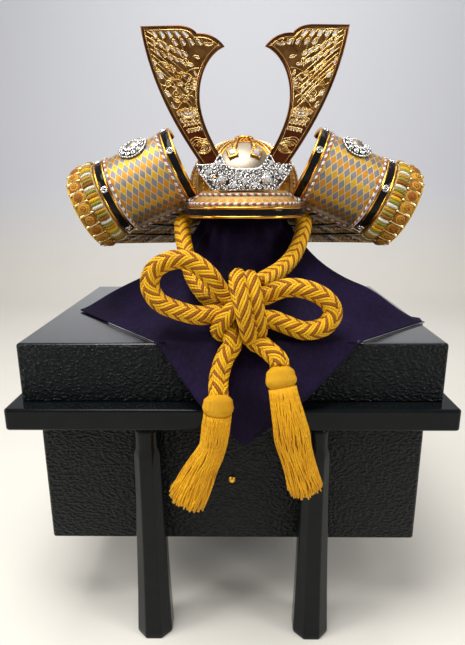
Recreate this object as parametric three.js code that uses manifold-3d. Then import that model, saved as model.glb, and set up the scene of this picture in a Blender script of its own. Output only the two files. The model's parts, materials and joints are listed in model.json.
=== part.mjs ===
// Kabuto helmet with horned crest, on a cloth-draped stand and a legged storage box.
// Millimetres, +Z up, floor at z = 0, box centred on the origin, front of the helmet towards -Y.
import * as THREE from 'three';
import { mergeVertices } from 'three/addons/utils/BufferGeometryUtils.js';
import Module from 'manifold-3d';

const wasm = await Module();
wasm.setup();

// Gap kept between neighbouring pieces
const GAP = 0.4;

// Storage box: the lid gives its length and depth, the ledge stands out past it and the chest is set in
const BOARD = 8;
const LID = { wide: 375, deep: 269, high: 54, bevel: 4 };
const LEDGE = { pastEnds: 9.5, pastFront: 17, high: 20, bevel: 1.5 };
const CHEST = { inEnds: 10, inFront: 11, high: 129, bevel: 2, lift: 89 };
const LEG = { spread: 152, topWide: 25, footWide: 34, topDeep: 26, footDeep: 33, chamfer: 0.28 };
const STUD = { radius: 3.6, proud: 3, rise: 65 };

// Helmet bowl
const HELMET_SHIFT = 12;
const BOWL = { radius: 56, wall: 2, rimHeight: 115.4, wallHigh: 16.6, domeHigh: 46 };
const RIBS = { count: 20, proud: 0.9 };
const WAIST = { wall: 3, high: 8, pastBowl: 1.6 };
const RING = { radius: 9, hole: 5.4, high: 2.8, bead: 0.8 };
const FRONT_PLATE = { wide: 44, high: 33, rise: 23, wall: 0.9 };
const CROWN_BAR = { wide: 4, thick: 2, boxSide: 9.5, boxThick: 4, spread: 11.6 };
const SPRING_HEIGHT = BOWL.rimHeight + BOWL.wallHigh;
const CROWN_HEIGHT = SPRING_HEIGHT + BOWL.domeHigh;

// Visor: a shelf from the bowl's wall, with a corded rim round its edge
const VISOR = { pastSides: 2, pastFront: 34, squareness: 2.8, rise: 12, drop: 14.8, wall: 1.6 };
const VISOR_SPAN = { rootAngle: 44, edgeAngle: 56 };
const VISOR_RIM = { high: 10.6, thick: 3, piping: 1.3, lift: 0.9, neck: 0.6 };
const VISOR_TOP = BOWL.rimHeight + VISOR.rise;
const VISOR_EDGE = VISOR_TOP - VISOR.drop;

// Crest base on the visor, with the horns behind it
const CREST = { wide: 89.4, bottomWide: 57.6, seat: 0.5, notchRise: 18.6, tipRise: 23.1, peakRise: 31.6 };
const CREST_PLATE = { thick: 3, bendRadius: 200, pastBowl: 6.4 };
const CREST_FOOT = VISOR_TOP + CREST.seat;
const CREST_FRONT = BOWL.radius + CREST_PLATE.pastBowl;
const FLOWER = { radius: 4.6, thick: 2.4, petals: 8, petalDepth: 0.82, spread: 42.2, rise: 10.1 };
const HORN = { wide: 67.8, tall: 131, plate: 1.6, border: 2.2, relief: 0.5, footOut: 24.5, footRise: 17.1 };
const HORN_STAND = { behindCrest: 4, slope: 0.15, lean: 0.05, flatAt: 30 };
const HORN_FOOT = CREST_FOOT + HORN.footRise;

// Wings and neck guard
const WING = { radius: 36.5, wall: 2, slope: 24, pastBowl: 13.5, rise: 33, setBack: -20 };
const WING_OUT = BOWL.radius + WING.pastBowl;
const WING_HEIGHT = BOWL.rimHeight + WING.rise;
const WING_PANEL = { long: 60, startAngle: -90, endAngle: 122 };
const WING_RIM = { wide: 11.2, proud: 1.6, piping: 2.6, innerAngle: -60 };
const WING_LACING = { long: 28, wall: 4, flare: 1.5, swell: 2, trimFrom: 40, trim: 0.5 };
const WING_CREST = { radius: 15.5, thick: 5, along: 0.45, angle: 62 };
const RIVET = { radius: 3, proud: 1.6 };
const LAMES = { count: 4, clear: 0.9, wide: 93.5, wall: 2, lap: 3, dip: 2.6, backTilt: 0.09 };

// Cloth and stand
const CLOTH = { wall: 1.6, neckRadius: 41, neckDrop: 15.4, reach: 222, roll: 5, flare: 1.5, rest: 0.7 };
const CLOTH_EDGE = { short: 3, pastLedge: 4, aboveLedge: 16 };
const CLOTH_LINES = 14;
const NECK_HEIGHT = BOWL.rimHeight - CLOTH.neckDrop;
const STAND = { inCloth: 7, postRadius: 12, footRadius: 45, footHigh: 12, domeHigh: 55, domeEdge: 8 };

// Chin cord
const CORD = { radius: 8.5, sides: 8 };
const KNOT = { out: 1, front: 130, up: 31.5, halfWide: 19, halfDeep: 16, halfHigh: 24.5, end: 0.45, chin: 12 };

const CHEST_TOP = CHEST.lift + CHEST.high;
const LEDGE_TOP = CHEST_TOP + LEDGE.high;
const LID_TOP = LEDGE_TOP + LID.high;

const LACQUER = { color: 0x0b0b0c, roughness: 0.25, metalness: 0.1 };
const GOLD = { color: 0xc98f2a, roughness: 0.3, metalness: 0.9 };
const BRONZE = { color: 0x6b3415, roughness: 0.35, metalness: 0.8 };
const SILVER = { color: 0xc9c6c0, roughness: 0.25, metalness: 0.95 };
const BROCADE = { color: 0xc7a545, roughness: 0.45, metalness: 0.5 };
const LACING = { color: 0xb8912f, roughness: 0.8, metalness: 0 };
const PURPLE = { color: 0x1c1030, roughness: 0.95, metalness: 0 };
const CORD_SILK = { color: 0xd6a021, roughness: 0.7, metalness: 0 };
const WOOD = { color: 0xb89467, roughness: 0.7, metalness: 0 };

const model = new THREE.Group();
const helmet = new THREE.Group();
helmet.position.set(HELMET_SHIFT, 0, LID_TOP);
model.add(helmet);

const V = (x, y, z) => new THREE.Vector3(x, y, z);
const radians = THREE.MathUtils.degToRad;
const mix = THREE.MathUtils.lerp;

function addPiece(group, name, geometry, look) {
  const mesh = new THREE.Mesh(geometry, new THREE.MeshStandardMaterial(look));
  mesh.name = name;
  group.add(mesh);
  return mesh;
}

// Closed surface from triangles of points, turned so that its faces point outwards
function surface(triangles) {
  let volume = 0;
  for (const [a, b, c] of triangles) volume += a.dot(b.clone().cross(c));
  const corners = [];
  for (const [a, b, c] of triangles) corners.push(a, volume < 0 ? c : b, volume < 0 ? b : c);
  return new THREE.BufferGeometry().setFromPoints(corners);
}

// Skin over rings of as many points each; the ends are capped unless the rings close on themselves
function loft(rings, looped = false) {
  const triangles = [];
  const rows = looped ? rings.length : rings.length - 1;
  for (let row = 0; row < rows; row++) {
    const near = rings[row];
    const far = rings[(row + 1) % rings.length];
    for (let i = 0; i < near.length; i++) {
      const j = (i + 1) % near.length;
      triangles.push([near[i], near[j], far[j]], [near[i], far[j], far[i]]);
    }
  }
  if (looped) return surface(triangles);
  for (const [ring, turned] of [[rings[0], true], [rings[rings.length - 1], false]]) {
    const middle = ring.reduce((sum, point) => sum.add(point), V(0, 0, 0)).divideScalar(ring.length);
    for (let i = 0; i < ring.length; i++) {
      const j = (i + 1) % ring.length;
      triangles.push(turned ? [middle, ring[j], ring[i]] : [middle, ring[i], ring[j]]);
    }
  }
  return surface(triangles);
}

// Shares from 0 to 1 in even steps
function steps(count) {
  return Array.from({ length: count + 1 }, (_, i) => i / count);
}

// Even turns of a full circle, in radians
function turns(count) {
  return Array.from({ length: count }, (_, i) => i / count * 2 * Math.PI);
}

// Storage box

function chamferedRing(wide, deep, cut, z, x = 0, y = 0) {
  const a = wide / 2;
  const b = deep / 2;
  const corners = [[a - cut, -b], [a, -b + cut], [a, b - cut], [a - cut, b],
    [-a + cut, b], [-a, b - cut], [-a, -b + cut], [-a + cut, -b]];
  return corners.map(([u, v]) => V(x + u, y + v, z));
}

// Outline of a board, grown past the lid's ends and front by the given sizes
function boardRing(pastEnds, pastFront, cut, z) {
  return chamferedRing(LID.wide + 2 * pastEnds, LID.deep + 2 * pastFront, cut, z);
}

const chestDeep = LID.deep - 2 * CHEST.inFront;

function buildBox() {
  const chestRing = (shrink, z) => boardRing(-CHEST.inEnds - shrink, -CHEST.inFront - shrink, CHEST.bevel, z);
  const chest = loft([
    chestRing(BOARD, CHEST.lift + BOARD),
    chestRing(BOARD, CHEST_TOP - GAP),
    chestRing(0, CHEST_TOP - GAP),
    chestRing(0, CHEST.lift + CHEST.bevel),
    chestRing(CHEST.bevel, CHEST.lift),
  ]);
  addPiece(model, 'lower_box', chest, LACQUER);

  const ledgeRing = (shrink, z) => boardRing(LEDGE.pastEnds - shrink, LEDGE.pastFront - shrink, LEDGE.bevel, z);
  const ledge = loft([
    chestRing(BOARD, CHEST_TOP),
    ledgeRing(LEDGE.bevel, CHEST_TOP),
    ledgeRing(0, CHEST_TOP + LEDGE.bevel),
    ledgeRing(0, LEDGE_TOP - LEDGE.bevel),
    ledgeRing(LEDGE.bevel, LEDGE_TOP),
    chestRing(BOARD, LEDGE_TOP),
  ], true);
  addPiece(model, 'ledge', ledge, LACQUER);

  const lid = loft([
    boardRing(-BOARD, -BOARD, LID.bevel, LID_TOP - BOARD),
    boardRing(-BOARD, -BOARD, LID.bevel, LEDGE_TOP + GAP),
    boardRing(0, 0, LID.bevel, LEDGE_TOP + GAP),
    boardRing(0, 0, LID.bevel, LID_TOP - LID.bevel),
    boardRing(-LID.bevel, -LID.bevel, LID.bevel, LID_TOP),
  ]);
  addPiece(model, 'lid', lid, LACQUER);

  const legTop = CHEST_TOP - GAP;
  for (const [front, side] of [['front', 'left'], ['front', 'right'], ['back', 'left'], ['back', 'right']]) {
    const across = (side === 'left' ? -1 : 1) * LEG.spread / 2;
    const away = front === 'front' ? -1 : 1;
    const rings = steps(6).map((t) => {
      const swell = (1 - t) ** 2;
      const wide = mix(LEG.topWide, LEG.footWide, swell);
      const deep = mix(LEG.topDeep, LEG.footDeep, swell);
      const y = away * (chestDeep / 2 + GAP + deep / 2);
      return chamferedRing(wide, deep, wide * LEG.chamfer, t * legTop, across, y);
    });
    addPiece(model, `leg_${front}_${side}`, loft(rings), LACQUER);
  }

  const studHeight = CHEST.lift + STUD.rise;
  const stud = [[1, 0], [1, 0.3], [0.8, 0.75], [0.4, 1]].map(([share, out]) => (
    turns(12).map((turn) => {
      const r = share * STUD.radius;
      return V(r * Math.cos(turn), -chestDeep / 2 - GAP - out * STUD.proud, studHeight + r * Math.sin(turn));
    })
  ));
  addPiece(model, 'front_stud', loft(stud), GOLD);
}

// Bowl of the helmet

// Radius and height of the bowl's outside, from the rim (0) to the crown (1)
function bowlProfile(share, thin = 0) {
  const radius = BOWL.radius - thin;
  const straight = 0.2;
  if (share < straight) return { r: radius, z: BOWL.rimHeight + BOWL.wallHigh * share / straight };
  const angle = (share - straight) / (1 - straight) * Math.PI / 2;
  return { r: radius * Math.cos(angle), z: SPRING_HEIGHT + (BOWL.domeHigh - thin) * Math.sin(angle) };
}

// Point on or above the front of the bowl's dome, by its side-step and height
function onBowl(x, z, lift) {
  const high = (z - SPRING_HEIGHT) / BOWL.domeHigh;
  const r = BOWL.radius * Math.sqrt(Math.max(0, 1 - high * high));
  const surfacePoint = V(x, -Math.sqrt(Math.max(0, r * r - x * x)), z);
  const stretch = (BOWL.radius / BOWL.domeHigh) ** 2;
  const normal = V(surfacePoint.x, surfacePoint.y, (z - SPRING_HEIGHT) * stretch).normalize();
  return surfacePoint.addScaledVector(normal, lift);
}

// Places down a crown bar, as shares of its spread and of the dome's height; the last two bound its jewel box
const CROWN_BAR_PLACES = [
  { out: 0.47, up: 0.896, box: false },
  { out: 0.62, up: 0.815, box: false },
  { out: 0.74, up: 0.728, box: false },
  { out: 0.8, up: 0.683, box: true }, { out: 1, up: 0.487, box: true },
];

function buildBowl() {
  const around = RIBS.count * 2;
  const ring = (share, thin, ribbed) => turns(around).map((turn, i) => {
    const { r, z } = bowlProfile(share, thin);
    const proud = ribbed && i % 2 === 0 ? RIBS.proud * Math.min(1, r / BOWL.radius * 2) : 0;
    return V((r + proud) * Math.cos(turn), (r + proud) * Math.sin(turn), z);
  });
  const outside = [0, 0.2, 0.36, 0.52, 0.68, 0.84, 0.95];
  const inside = [0.95, 0.75, 0.48, 0.2, 0];
  const rings = [
    ...inside.map((share) => ring(share, BOWL.wall, false)),
    ...outside.map((share) => ring(share, 0, true)),
  ];
  addPiece(helmet, 'bowl', loft(rings), GOLD);

  const waistOut = BOWL.radius + WAIST.pastBowl;
  const waist = [[waistOut - WAIST.wall, 1], [waistOut, 1], [waistOut, 0], [waistOut - WAIST.wall, 0]];
  const bandTop = BOWL.rimHeight - GAP;
  addPiece(helmet, 'waist_band', lathe(waist.map(([r, up]) => [r, bandTop - (1 - up) * WAIST.high]), 24), GOLD);

  const ringProfile = [[RING.hole, 0], [RING.radius, 0], [RING.radius + RING.bead, 0.5], [RING.radius, 1],
    [RING.hole, 1]];
  const crown = lathe(ringProfile.map(([r, up]) => [r, CROWN_HEIGHT + GAP + up * RING.high]), 16);
  addPiece(helmet, 'crown_ring', crown, GOLD);

  const plateLift = RIBS.proud + GAP;
  const plateCentre = SPRING_HEIGHT + FRONT_PLATE.rise;
  const plateRing = (share, lift) => turns(20).map((turn) => {
    const x = share * FRONT_PLATE.wide / 2 * Math.cos(turn);
    return onBowl(x, plateCentre + share * FRONT_PLATE.high / 2 * Math.sin(turn), lift);
  });
  const plate = loft([
    ...[0.3, 0.65, 1].map((share) => plateRing(share, plateLift)),
    ...[1, 0.65, 0.3].map((share) => plateRing(share, plateLift + FRONT_PLATE.wall)),
  ]);
  addPiece(helmet, 'front_plate', plate, SILVER);

  for (const [name, side] of [['left', -1], ['right', 1]]) {
    const lift = plateLift + FRONT_PLATE.wall + 2 * GAP;
    const rings = CROWN_BAR_PLACES.map(({ out, up, box }) => {
      const reach = (box ? CROWN_BAR.boxSide : CROWN_BAR.wide) / 2;
      const thick = box ? CROWN_BAR.boxThick : CROWN_BAR.thick;
      const corners = [[-reach, 0], [reach, 0], [reach, thick], [-reach, thick]];
      return corners.map(([u, v]) => (
        onBowl(side * (out * CROWN_BAR.spread + u), SPRING_HEIGHT + up * BOWL.domeHigh, lift + v)
      ));
    });
    addPiece(helmet, `crown_bar_${name}`, loft(rings), GOLD);
  }
}

// Ring turned around the helmet's axis from a closed outline of [radius, height]
function lathe(outline, segments) {
  const rings = turns(segments).map((turn) => (
    outline.map(([r, z]) => V(r * Math.cos(turn), r * Math.sin(turn), z))
  ));
  return loft(rings, true);
}

// Visor

// Point of the visor's plan outline at an angle from straight ahead
function visorEdge(angle, grow = 0) {
  const s = Math.abs(Math.sin(angle)) / (BOWL.radius + VISOR.pastSides + grow);
  const c = Math.abs(Math.cos(angle)) / (BOWL.radius + VISOR.pastFront + grow);
  const r = (s ** VISOR.squareness + c ** VISOR.squareness) ** (-1 / VISOR.squareness);
  return { x: r * Math.sin(angle), y: -r * Math.cos(angle) };
}

function buildVisor() {
  const seat = BOWL.radius + RIBS.proud + GAP;
  const innerSpan = radians(VISOR_SPAN.rootAngle);
  const outerSpan = radians(VISOR_SPAN.edgeAngle);
  const rings = steps(16).map((t) => {
    const inner = mix(-innerSpan, innerSpan, t);
    const edge = visorEdge(mix(-outerSpan, outerSpan, t));
    const root = { x: seat * Math.sin(inner), y: -seat * Math.cos(inner) };
    const drops = [0, 0.4, 0.75, 1];
    const top = drops.map((d) => {
      const z = mix(VISOR_TOP, VISOR_EDGE, d ** 1.3);
      return V(mix(root.x, edge.x, d), mix(root.y, edge.y, d), z);
    });
    const bottom = top.map((p) => V(p.x, p.y, p.z - VISOR.wall)).reverse();
    return [...top, ...bottom];
  });
  addPiece(helmet, 'visor', loft(rings), BROCADE);

  const { high, thick, piping } = VISOR_RIM;
  const neck = thick * VISOR_RIM.neck;
  const section = [
    { out: GAP, up: 0 },
    { out: neck, up: piping * 0.5 },
    { out: thick, up: -piping },
    { out: neck, up: -2.4 * piping },
    { out: neck, up: -high + 2.2 * piping },
    { out: thick, up: -high + piping },
    { out: neck, up: -high },
    { out: GAP, up: -high },
  ];
  const rim = steps(18).map((t) => section.map(({ out, up }) => {
    const place = visorEdge(mix(-outerSpan, outerSpan, t), out);
    return V(place.x, place.y, VISOR_EDGE + VISOR_RIM.lift + up);
  }));
  addPiece(helmet, 'visor_rim', loft(rim), LACQUER);
}

// Crest base and horns

function toSolid(geometry) {
  const clean = geometry.clone();
  clean.deleteAttribute('normal');
  clean.deleteAttribute('uv');
  const merged = mergeVertices(clean, 1e-5);
  return new wasm.Manifold(new wasm.Mesh({
    numProp: 3,
    vertProperties: new Float32Array(merged.attributes.position.array),
    triVerts: new Uint32Array(merged.index.array),
  }));
}

function toGeometry(solid) {
  const mesh = solid.getMesh();
  const geometry = new THREE.BufferGeometry();
  geometry.setAttribute('position', new THREE.BufferAttribute(new Float32Array(mesh.vertProperties), 3));
  geometry.setIndex(new THREE.BufferAttribute(new Uint32Array(mesh.triVerts), 1));
  return geometry;
}

// Plate cut from an outline in X and Z, its front face at the given depth
function uprightPlate(shape, thick, front, curveSegments = 6) {
  const plate = new THREE.ExtrudeGeometry(shape, { depth: thick, bevelEnabled: false, curveSegments });
  plate.rotateX(Math.PI / 2);
  plate.translate(0, thick - front, 0);
  return plate;
}

function bend(geometry, depthAt) {
  const points = geometry.attributes.position;
  for (let i = 0; i < points.count; i++) {
    points.setY(i, points.getY(i) + depthAt(points.getX(i), points.getZ(i)));
  }
  return geometry;
}

// Pointed slot, long and wide, turned by an angle in degrees
function slot(x, z, long, wide, turn) {
  const a = radians(turn);
  const outline = [[-0.5, 0], [-0.1, 0.5], [0.5, 0], [-0.1, -0.5]];
  return new THREE.Path(outline.map(([u, v]) => new THREE.Vector2(
    x + u * long * Math.cos(a) - v * wide * Math.sin(a),
    z + u * long * Math.sin(a) + v * wide * Math.cos(a),
  )));
}

// Openwork of the crest base: place as shares of its half width and height, sizes as shares of the height
const CREST_GAPS = [
  { out: 0, up: 0.33, long: 0.22, wide: 0.14, turn: 90 },
  { out: 0.16, up: 0.2, long: 0.19, wide: 0.11, turn: 20 },
  { out: 0.17, up: 0.42, long: 0.2, wide: 0.1, turn: -35 },
  { out: 0.33, up: 0.14, long: 0.18, wide: 0.09, turn: 0 },
  { out: 0.34, up: 0.62, long: 0.19, wide: 0.095, turn: 60 },
  { out: 0.51, up: 0.12, long: 0.17, wide: 0.09, turn: 15 },
  { out: 0.47, up: 0.72, long: 0.22, wide: 0.1, turn: 80 },
  { out: 0.63, up: 0.36, long: 0.22, wide: 0.1, turn: 55 },
  { out: 0.64, up: 0.6, long: 0.16, wide: 0.09, turn: 10 },
  { out: 0.79, up: 0.6, long: 0.18, wide: 0.095, turn: 35 },
];

function crestShape() {
  const half = CREST.wide / 2;
  const foot = CREST.bottomWide / 2;
  const neckHigh = CREST_FOOT + CREST.notchRise;
  const tipHigh = CREST_FOOT + CREST.tipRise;
  const peakHigh = CREST_FOOT + CREST.peakRise;
  const waistHigh = mix(CREST_FOOT, tipHigh, 0.38);
  const shape = new THREE.Shape();
  const nearTip = mix(tipHigh, peakHigh, 0.06);
  const nearPeak = mix(tipHigh, peakHigh, 0.88);
  shape.moveTo(-foot, CREST_FOOT);
  shape.lineTo(foot, CREST_FOOT);
  shape.quadraticCurveTo(half * 0.86, waistHigh, half, tipHigh);
  shape.lineTo(half * 0.62, nearTip);
  shape.quadraticCurveTo(half * 0.55, nearPeak, half * 0.49, peakHigh);
  shape.quadraticCurveTo(half * 0.4, neckHigh, half * 0.2, neckHigh);
  shape.lineTo(-half * 0.2, neckHigh);
  shape.quadraticCurveTo(-half * 0.4, neckHigh, -half * 0.49, peakHigh);
  shape.quadraticCurveTo(-half * 0.55, nearPeak, -half * 0.62, nearTip);
  shape.lineTo(-half, tipHigh);
  shape.quadraticCurveTo(-half * 0.86, waistHigh, -foot, CREST_FOOT);
  for (const { out, up, long, wide, turn } of CREST_GAPS) {
    for (const side of out === 0 ? [1] : [-1, 1]) {
      const z = mix(CREST_FOOT, tipHigh, up);
      shape.holes.push(slot(side * out * half, z, long * CREST.tipRise, wide * CREST.tipRise, side * turn));
    }
  }
  return shape;
}

// How far back the crest base bends at a side-step
const crestBend = (x) => x * x / (2 * CREST_PLATE.bendRadius);

// Edges of the right-hand horn from its foot to its tips, and the curled top between them.
// Places are shares of the horn's width, counted from the middle of its foot, and of its height.
function hornEdges() {
  const at = (over, up) => new THREE.Vector2(HORN.footOut + over * HORN.wide, HORN_FOOT + up * HORN.tall);
  const waist = at(0.242, 0.49);
  const hook = at(-0.096, 0.795);
  const temple = at(0.257, 0.88);
  const outer = new THREE.CubicBezierCurve(at(0.11, -0.04), at(0.57, 0.27), at(0.907, 0.59), at(1, 0.94));
  const innerLow = new THREE.CubicBezierCurve(at(-0.11, 0.04), at(0.037, 0.15), at(0.243, 0.33), waist);
  const innerHigh = new THREE.CubicBezierCurve(waist, at(0.242, 0.635), at(0.11, 0.757), hook);
  const curl = new THREE.QuadraticBezierCurve(hook, at(0.037, 0.882), temple);
  const brow = new THREE.QuadraticBezierCurve(temple, at(0.332, 0.93), at(0.524, 0.934));
  return { outer, innerLow, innerHigh, curl, brow };
}

// Openwork of a horn: place as shares up the blade and across it from the outer edge, sizes as shares of
// the horn's width
const HORN_GAPS = [
  { up: 0.965, over: 0.21, long: 0.12, wide: 0.038, turn: 58 },
  { up: 0.98, over: 0.33, long: 0.13, wide: 0.038, turn: 60 },
  { up: 0.985, over: 0.46, long: 0.13, wide: 0.038, turn: 66 },
  { up: 0.98, over: 0.59, long: 0.12, wide: 0.038, turn: 72 },
  { up: 0.98, over: 0.73, long: 0.13, wide: 0.041, turn: 20 },
  { up: 0.95, over: 0.86, long: 0.13, wide: 0.027, turn: 24 },
  { up: 0.9, over: 0.12, long: 0.147, wide: 0.03, turn: 66 },
  { up: 0.88, over: 0.25, long: 0.147, wide: 0.03, turn: 54 },
  { up: 0.87, over: 0.38, long: 0.13, wide: 0.03, turn: 50 },
  { up: 0.82, over: 0.14, long: 0.13, wide: 0.032, turn: 64 },
  { up: 0.87, over: 0.62, long: 0.12, wide: 0.035, turn: -10 },
  { up: 0.8, over: 0.3, long: 0.12, wide: 0.035, turn: 40 },
  { up: 0.8, over: 0.52, long: 0.1, wide: 0.035, turn: -20 },
  { up: 0.78, over: 0.82, long: 0.09, wide: 0.03, turn: 10 },
  { up: 0.73, over: 0.18, long: 0.12, wide: 0.047, turn: 40 },
  { up: 0.72, over: 0.45, long: 0.1, wide: 0.038, turn: 15 },
  { up: 0.72, over: 0.8, long: 0.09, wide: 0.03, turn: 8 },
  { up: 0.66, over: 0.84, long: 0.08, wide: 0.03, turn: 4 },
  { up: 0.64, over: 0.26, long: 0.13, wide: 0.044, turn: 20 },
  { up: 0.62, over: 0.56, long: 0.1, wide: 0.041, turn: -30 },
  { up: 0.6, over: 0.84, long: 0.075, wide: 0.03, turn: 0 },
  { up: 0.55, over: 0.3, long: 0.1, wide: 0.044, turn: 60 },
  { up: 0.54, over: 0.62, long: 0.12, wide: 0.035, turn: -10 },
  { up: 0.49, over: 0.72, long: 0.1, wide: 0.03, turn: -6 },
  { up: 0.47, over: 0.36, long: 0.09, wide: 0.041, turn: 50 },
  { up: 0.41, over: 0.3, long: 0.06, wide: 0.03, turn: 70 },
  { up: 0.42, over: 0.52, long: 0.06, wide: 0.03, turn: 70 },
  { up: 0.43, over: 0.76, long: 0.06, wide: 0.03, turn: 70 },
  { up: 0.35, over: 0.3, long: 0.053, wide: 0.028, turn: 70 },
  { up: 0.36, over: 0.52, long: 0.053, wide: 0.028, turn: 70 },
  { up: 0.37, over: 0.74, long: 0.053, wide: 0.028, turn: 70 },
  { up: 0.3, over: 0.42, long: 0.05, wide: 0.026, turn: 70 },
];

function hornOutline(inset) {
  const { outer, innerLow, innerHigh, curl, brow } = hornEdges();
  const points = [];
  for (const [edge, count] of [[innerLow, 5], [innerHigh, 5], [curl, 4], [brow, 3]]) {
    points.push(...edge.getPoints(count).slice(0, count));
  }
  points.push(brow.getPoint(1), ...outer.getPoints(8).reverse());
  if (inset === 0) return points.reverse();
  const inner = points.map((point, i) => {
    const before = points[(i + points.length - 1) % points.length];
    const after = points[(i + 1) % points.length];
    const a = point.clone().sub(before).normalize();
    const b = after.clone().sub(point).normalize();
    const normal = new THREE.Vector2(-(a.y + b.y), a.x + b.x).normalize();
    const widen = Math.min(2, 1 / Math.max(0.3, Math.cos(a.angleTo(b) / 2)));
    return point.clone().addScaledVector(normal, -inset * widen);
  });
  return inner.reverse();
}

function buildCrest() {
  const base = uprightPlate(crestShape(), CREST_PLATE.thick, CREST_FRONT, 4);
  addPiece(helmet, 'crest_base', bend(base, crestBend), SILVER);

  for (const [name, side] of [['left', -1], ['right', 1]]) {
    const flower = new THREE.Shape(turns(FLOWER.petals * 2).map((turn, i) => {
      const r = FLOWER.radius * (i % 2 ? FLOWER.petalDepth : 1);
      return new THREE.Vector2(r * Math.cos(turn), CREST_FOOT + FLOWER.rise + r * Math.sin(turn));
    }));
    const out = side * FLOWER.spread / 2;
    const petalFront = CREST_FRONT - crestBend(out) + 2 * GAP + FLOWER.thick;
    const petals = uprightPlate(flower, FLOWER.thick, petalFront);
    petals.translate(out, 0, 0);
    addPiece(helmet, `crest_flower_${name}`, petals, SILVER);

    const plate = new THREE.Shape(hornOutline(0));
    const { outer, innerLow, innerHigh } = hornEdges();
    const inner = new THREE.CurvePath();
    inner.add(innerLow);
    inner.add(innerHigh);
    for (const { up, over, long, wide, turn } of HORN_GAPS) {
      const place = outer.getPoint(up).lerp(inner.getPoint(up), over);
      plate.holes.push(slot(place.x, place.y, long * HORN.wide, wide * HORN.wide, 180 - turn));
    }
    const border = new THREE.Shape(hornOutline(0));
    border.holes.push(new THREE.Path(hornOutline(HORN.border)));
    const front = CREST_FRONT - CREST_PLATE.thick - HORN_STAND.behindCrest;
    const blade = toSolid(uprightPlate(plate, HORN.plate, front));
    const raised = toSolid(uprightPlate(border, HORN.relief * 2, front + HORN.relief));
    const horn = toGeometry(blade.add(raised));
    const { slope, lean, flatAt } = HORN_STAND;
    bend(horn, (x, z) => slope * (x - flatAt) - lean * Math.max(0, z - HORN_FOOT));
    if (side < 0) {
      horn.scale(-1, 1, 1);
      const order = horn.index.array;
      for (let i = 0; i < order.length; i += 3) [order[i], order[i + 1]] = [order[i + 1], order[i]];
    }
    addPiece(helmet, `horn_${name}`, horn, BRONZE);
  }
}

// Wings

// Point on a wing's barrel: along its axis, angle up from the front, height above its skin
function onWing(side, along, angle, lift) {
  const slope = radians(WING.slope);
  const turn = radians(angle);
  const r = WING.radius + lift;
  const out = WING_OUT + along * Math.cos(slope) + r * Math.sin(turn) * Math.sin(slope);
  const up = WING_HEIGHT - along * Math.sin(slope) + r * Math.sin(turn) * Math.cos(slope);
  return V(side * out, WING.setBack - r * Math.cos(turn), up);
}

// Band on the barrel, swept over an angle from a section of [along, lift] points
function wingBand(side, section, from, to, count) {
  return loft(steps(count).map((t) => (
    section(mix(from, to, t)).map(([along, lift]) => onWing(side, along, mix(from, to, t), lift))
  )));
}

function disc(side, along, angle, radius, sides, rows) {
  return loft(rows.map(({ share, lift }) => turns(sides).map((turn) => {
    const arc = radius * share * Math.sin(turn) / WING.radius * 180 / Math.PI;
    return onWing(side, along + radius * share * Math.cos(turn), angle + arc, lift);
  })));
}

function buildWing(name, side) {
  const rimSection = (start) => () => {
    const end = start + WING_RIM.wide;
    const fold = WING_RIM.piping;
    return [[start, -WING.wall], [start, WING_RIM.proud * 0.6], [start + fold / 2, WING_RIM.proud],
      [start + fold, 0], [end - fold, 0], [end - fold / 2, WING_RIM.proud],
      [end, WING_RIM.proud * 0.6], [end, -WING.wall]];
  };
  const { long, startAngle: from, endAngle: to } = WING_PANEL;
  const innerStart = -GAP - WING_RIM.wide;
  const outerStart = long + GAP;
  const inner = wingBand(side, rimSection(innerStart), WING_RIM.innerAngle, to, 11);
  addPiece(helmet, `wing_rim_inner_${name}`, inner, LACQUER);
  const panel = wingBand(side, () => [[0, -WING.wall], [0, 0], [long, 0], [long, -WING.wall]], from, to, 13);
  addPiece(helmet, `wing_panel_${name}`, panel, BROCADE);
  addPiece(helmet, `wing_rim_outer_${name}`, wingBand(side, rimSection(outerStart), from, to, 13), LACQUER);

  const laceStart = outerStart + WING_RIM.wide + GAP;
  const lacing = wingBand(side, (angle) => {
    const { trimFrom, flare, swell, wall } = WING_LACING;
    const trim = Math.max(0, (angle - trimFrom) / (to - trimFrom));
    const end = laceStart + WING_LACING.long * (1 - WING_LACING.trim * trim ** 1.5);
    const middle = mix(laceStart, end, 0.5);
    return [[laceStart, -WING.wall], [laceStart, wall - WING.wall], [middle, flare + swell],
      [end, flare], [end, flare - wall], [middle, -WING.wall]];
  }, from, to, 13);
  addPiece(helmet, `wing_lacing_${name}`, lacing, LACING);

  const crest = disc(side, long * WING_CREST.along, WING_CREST.angle, WING_CREST.radius, 12, [
    { share: 0.5, lift: 2 * GAP }, { share: 1, lift: 2 * GAP }, { share: 1, lift: WING_CREST.thick * 0.4 },
    { share: 0.82, lift: WING_CREST.thick * 0.8 }, { share: 0.4, lift: WING_CREST.thick },
  ]);
  addPiece(helmet, `wing_crest_${name}`, crest, SILVER);

  const rows = [
    { share: 1, lift: GAP }, { share: 1, lift: RIVET.proud }, { share: 0.5, lift: RIVET.proud * 1.5 },
  ];
  for (const [rim, start, angles] of [['inner', innerStart, [72, 22]], ['outer', outerStart, [72, 12, -62]]]) {
    angles.forEach((angle, i) => {
      const rivet = disc(side, start + WING_RIM.wide / 2, angle, RIVET.radius, 6, rows);
      addPiece(helmet, `rivet_${rim}_${name}_${i + 1}`, rivet, SILVER);
    });
  }
}

// Neck guard

// Top line of the neck guard: it carries on from the bottom edges of the wings
function guardHeight(r) {
  const slope = radians(WING.slope);
  const footOut = WING_OUT - WING.radius * Math.sin(slope);
  const footUp = WING_HEIGHT - WING.radius * Math.cos(slope);
  return footUp - (r - footOut) * Math.tan(slope) + WING.wall;
}

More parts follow.
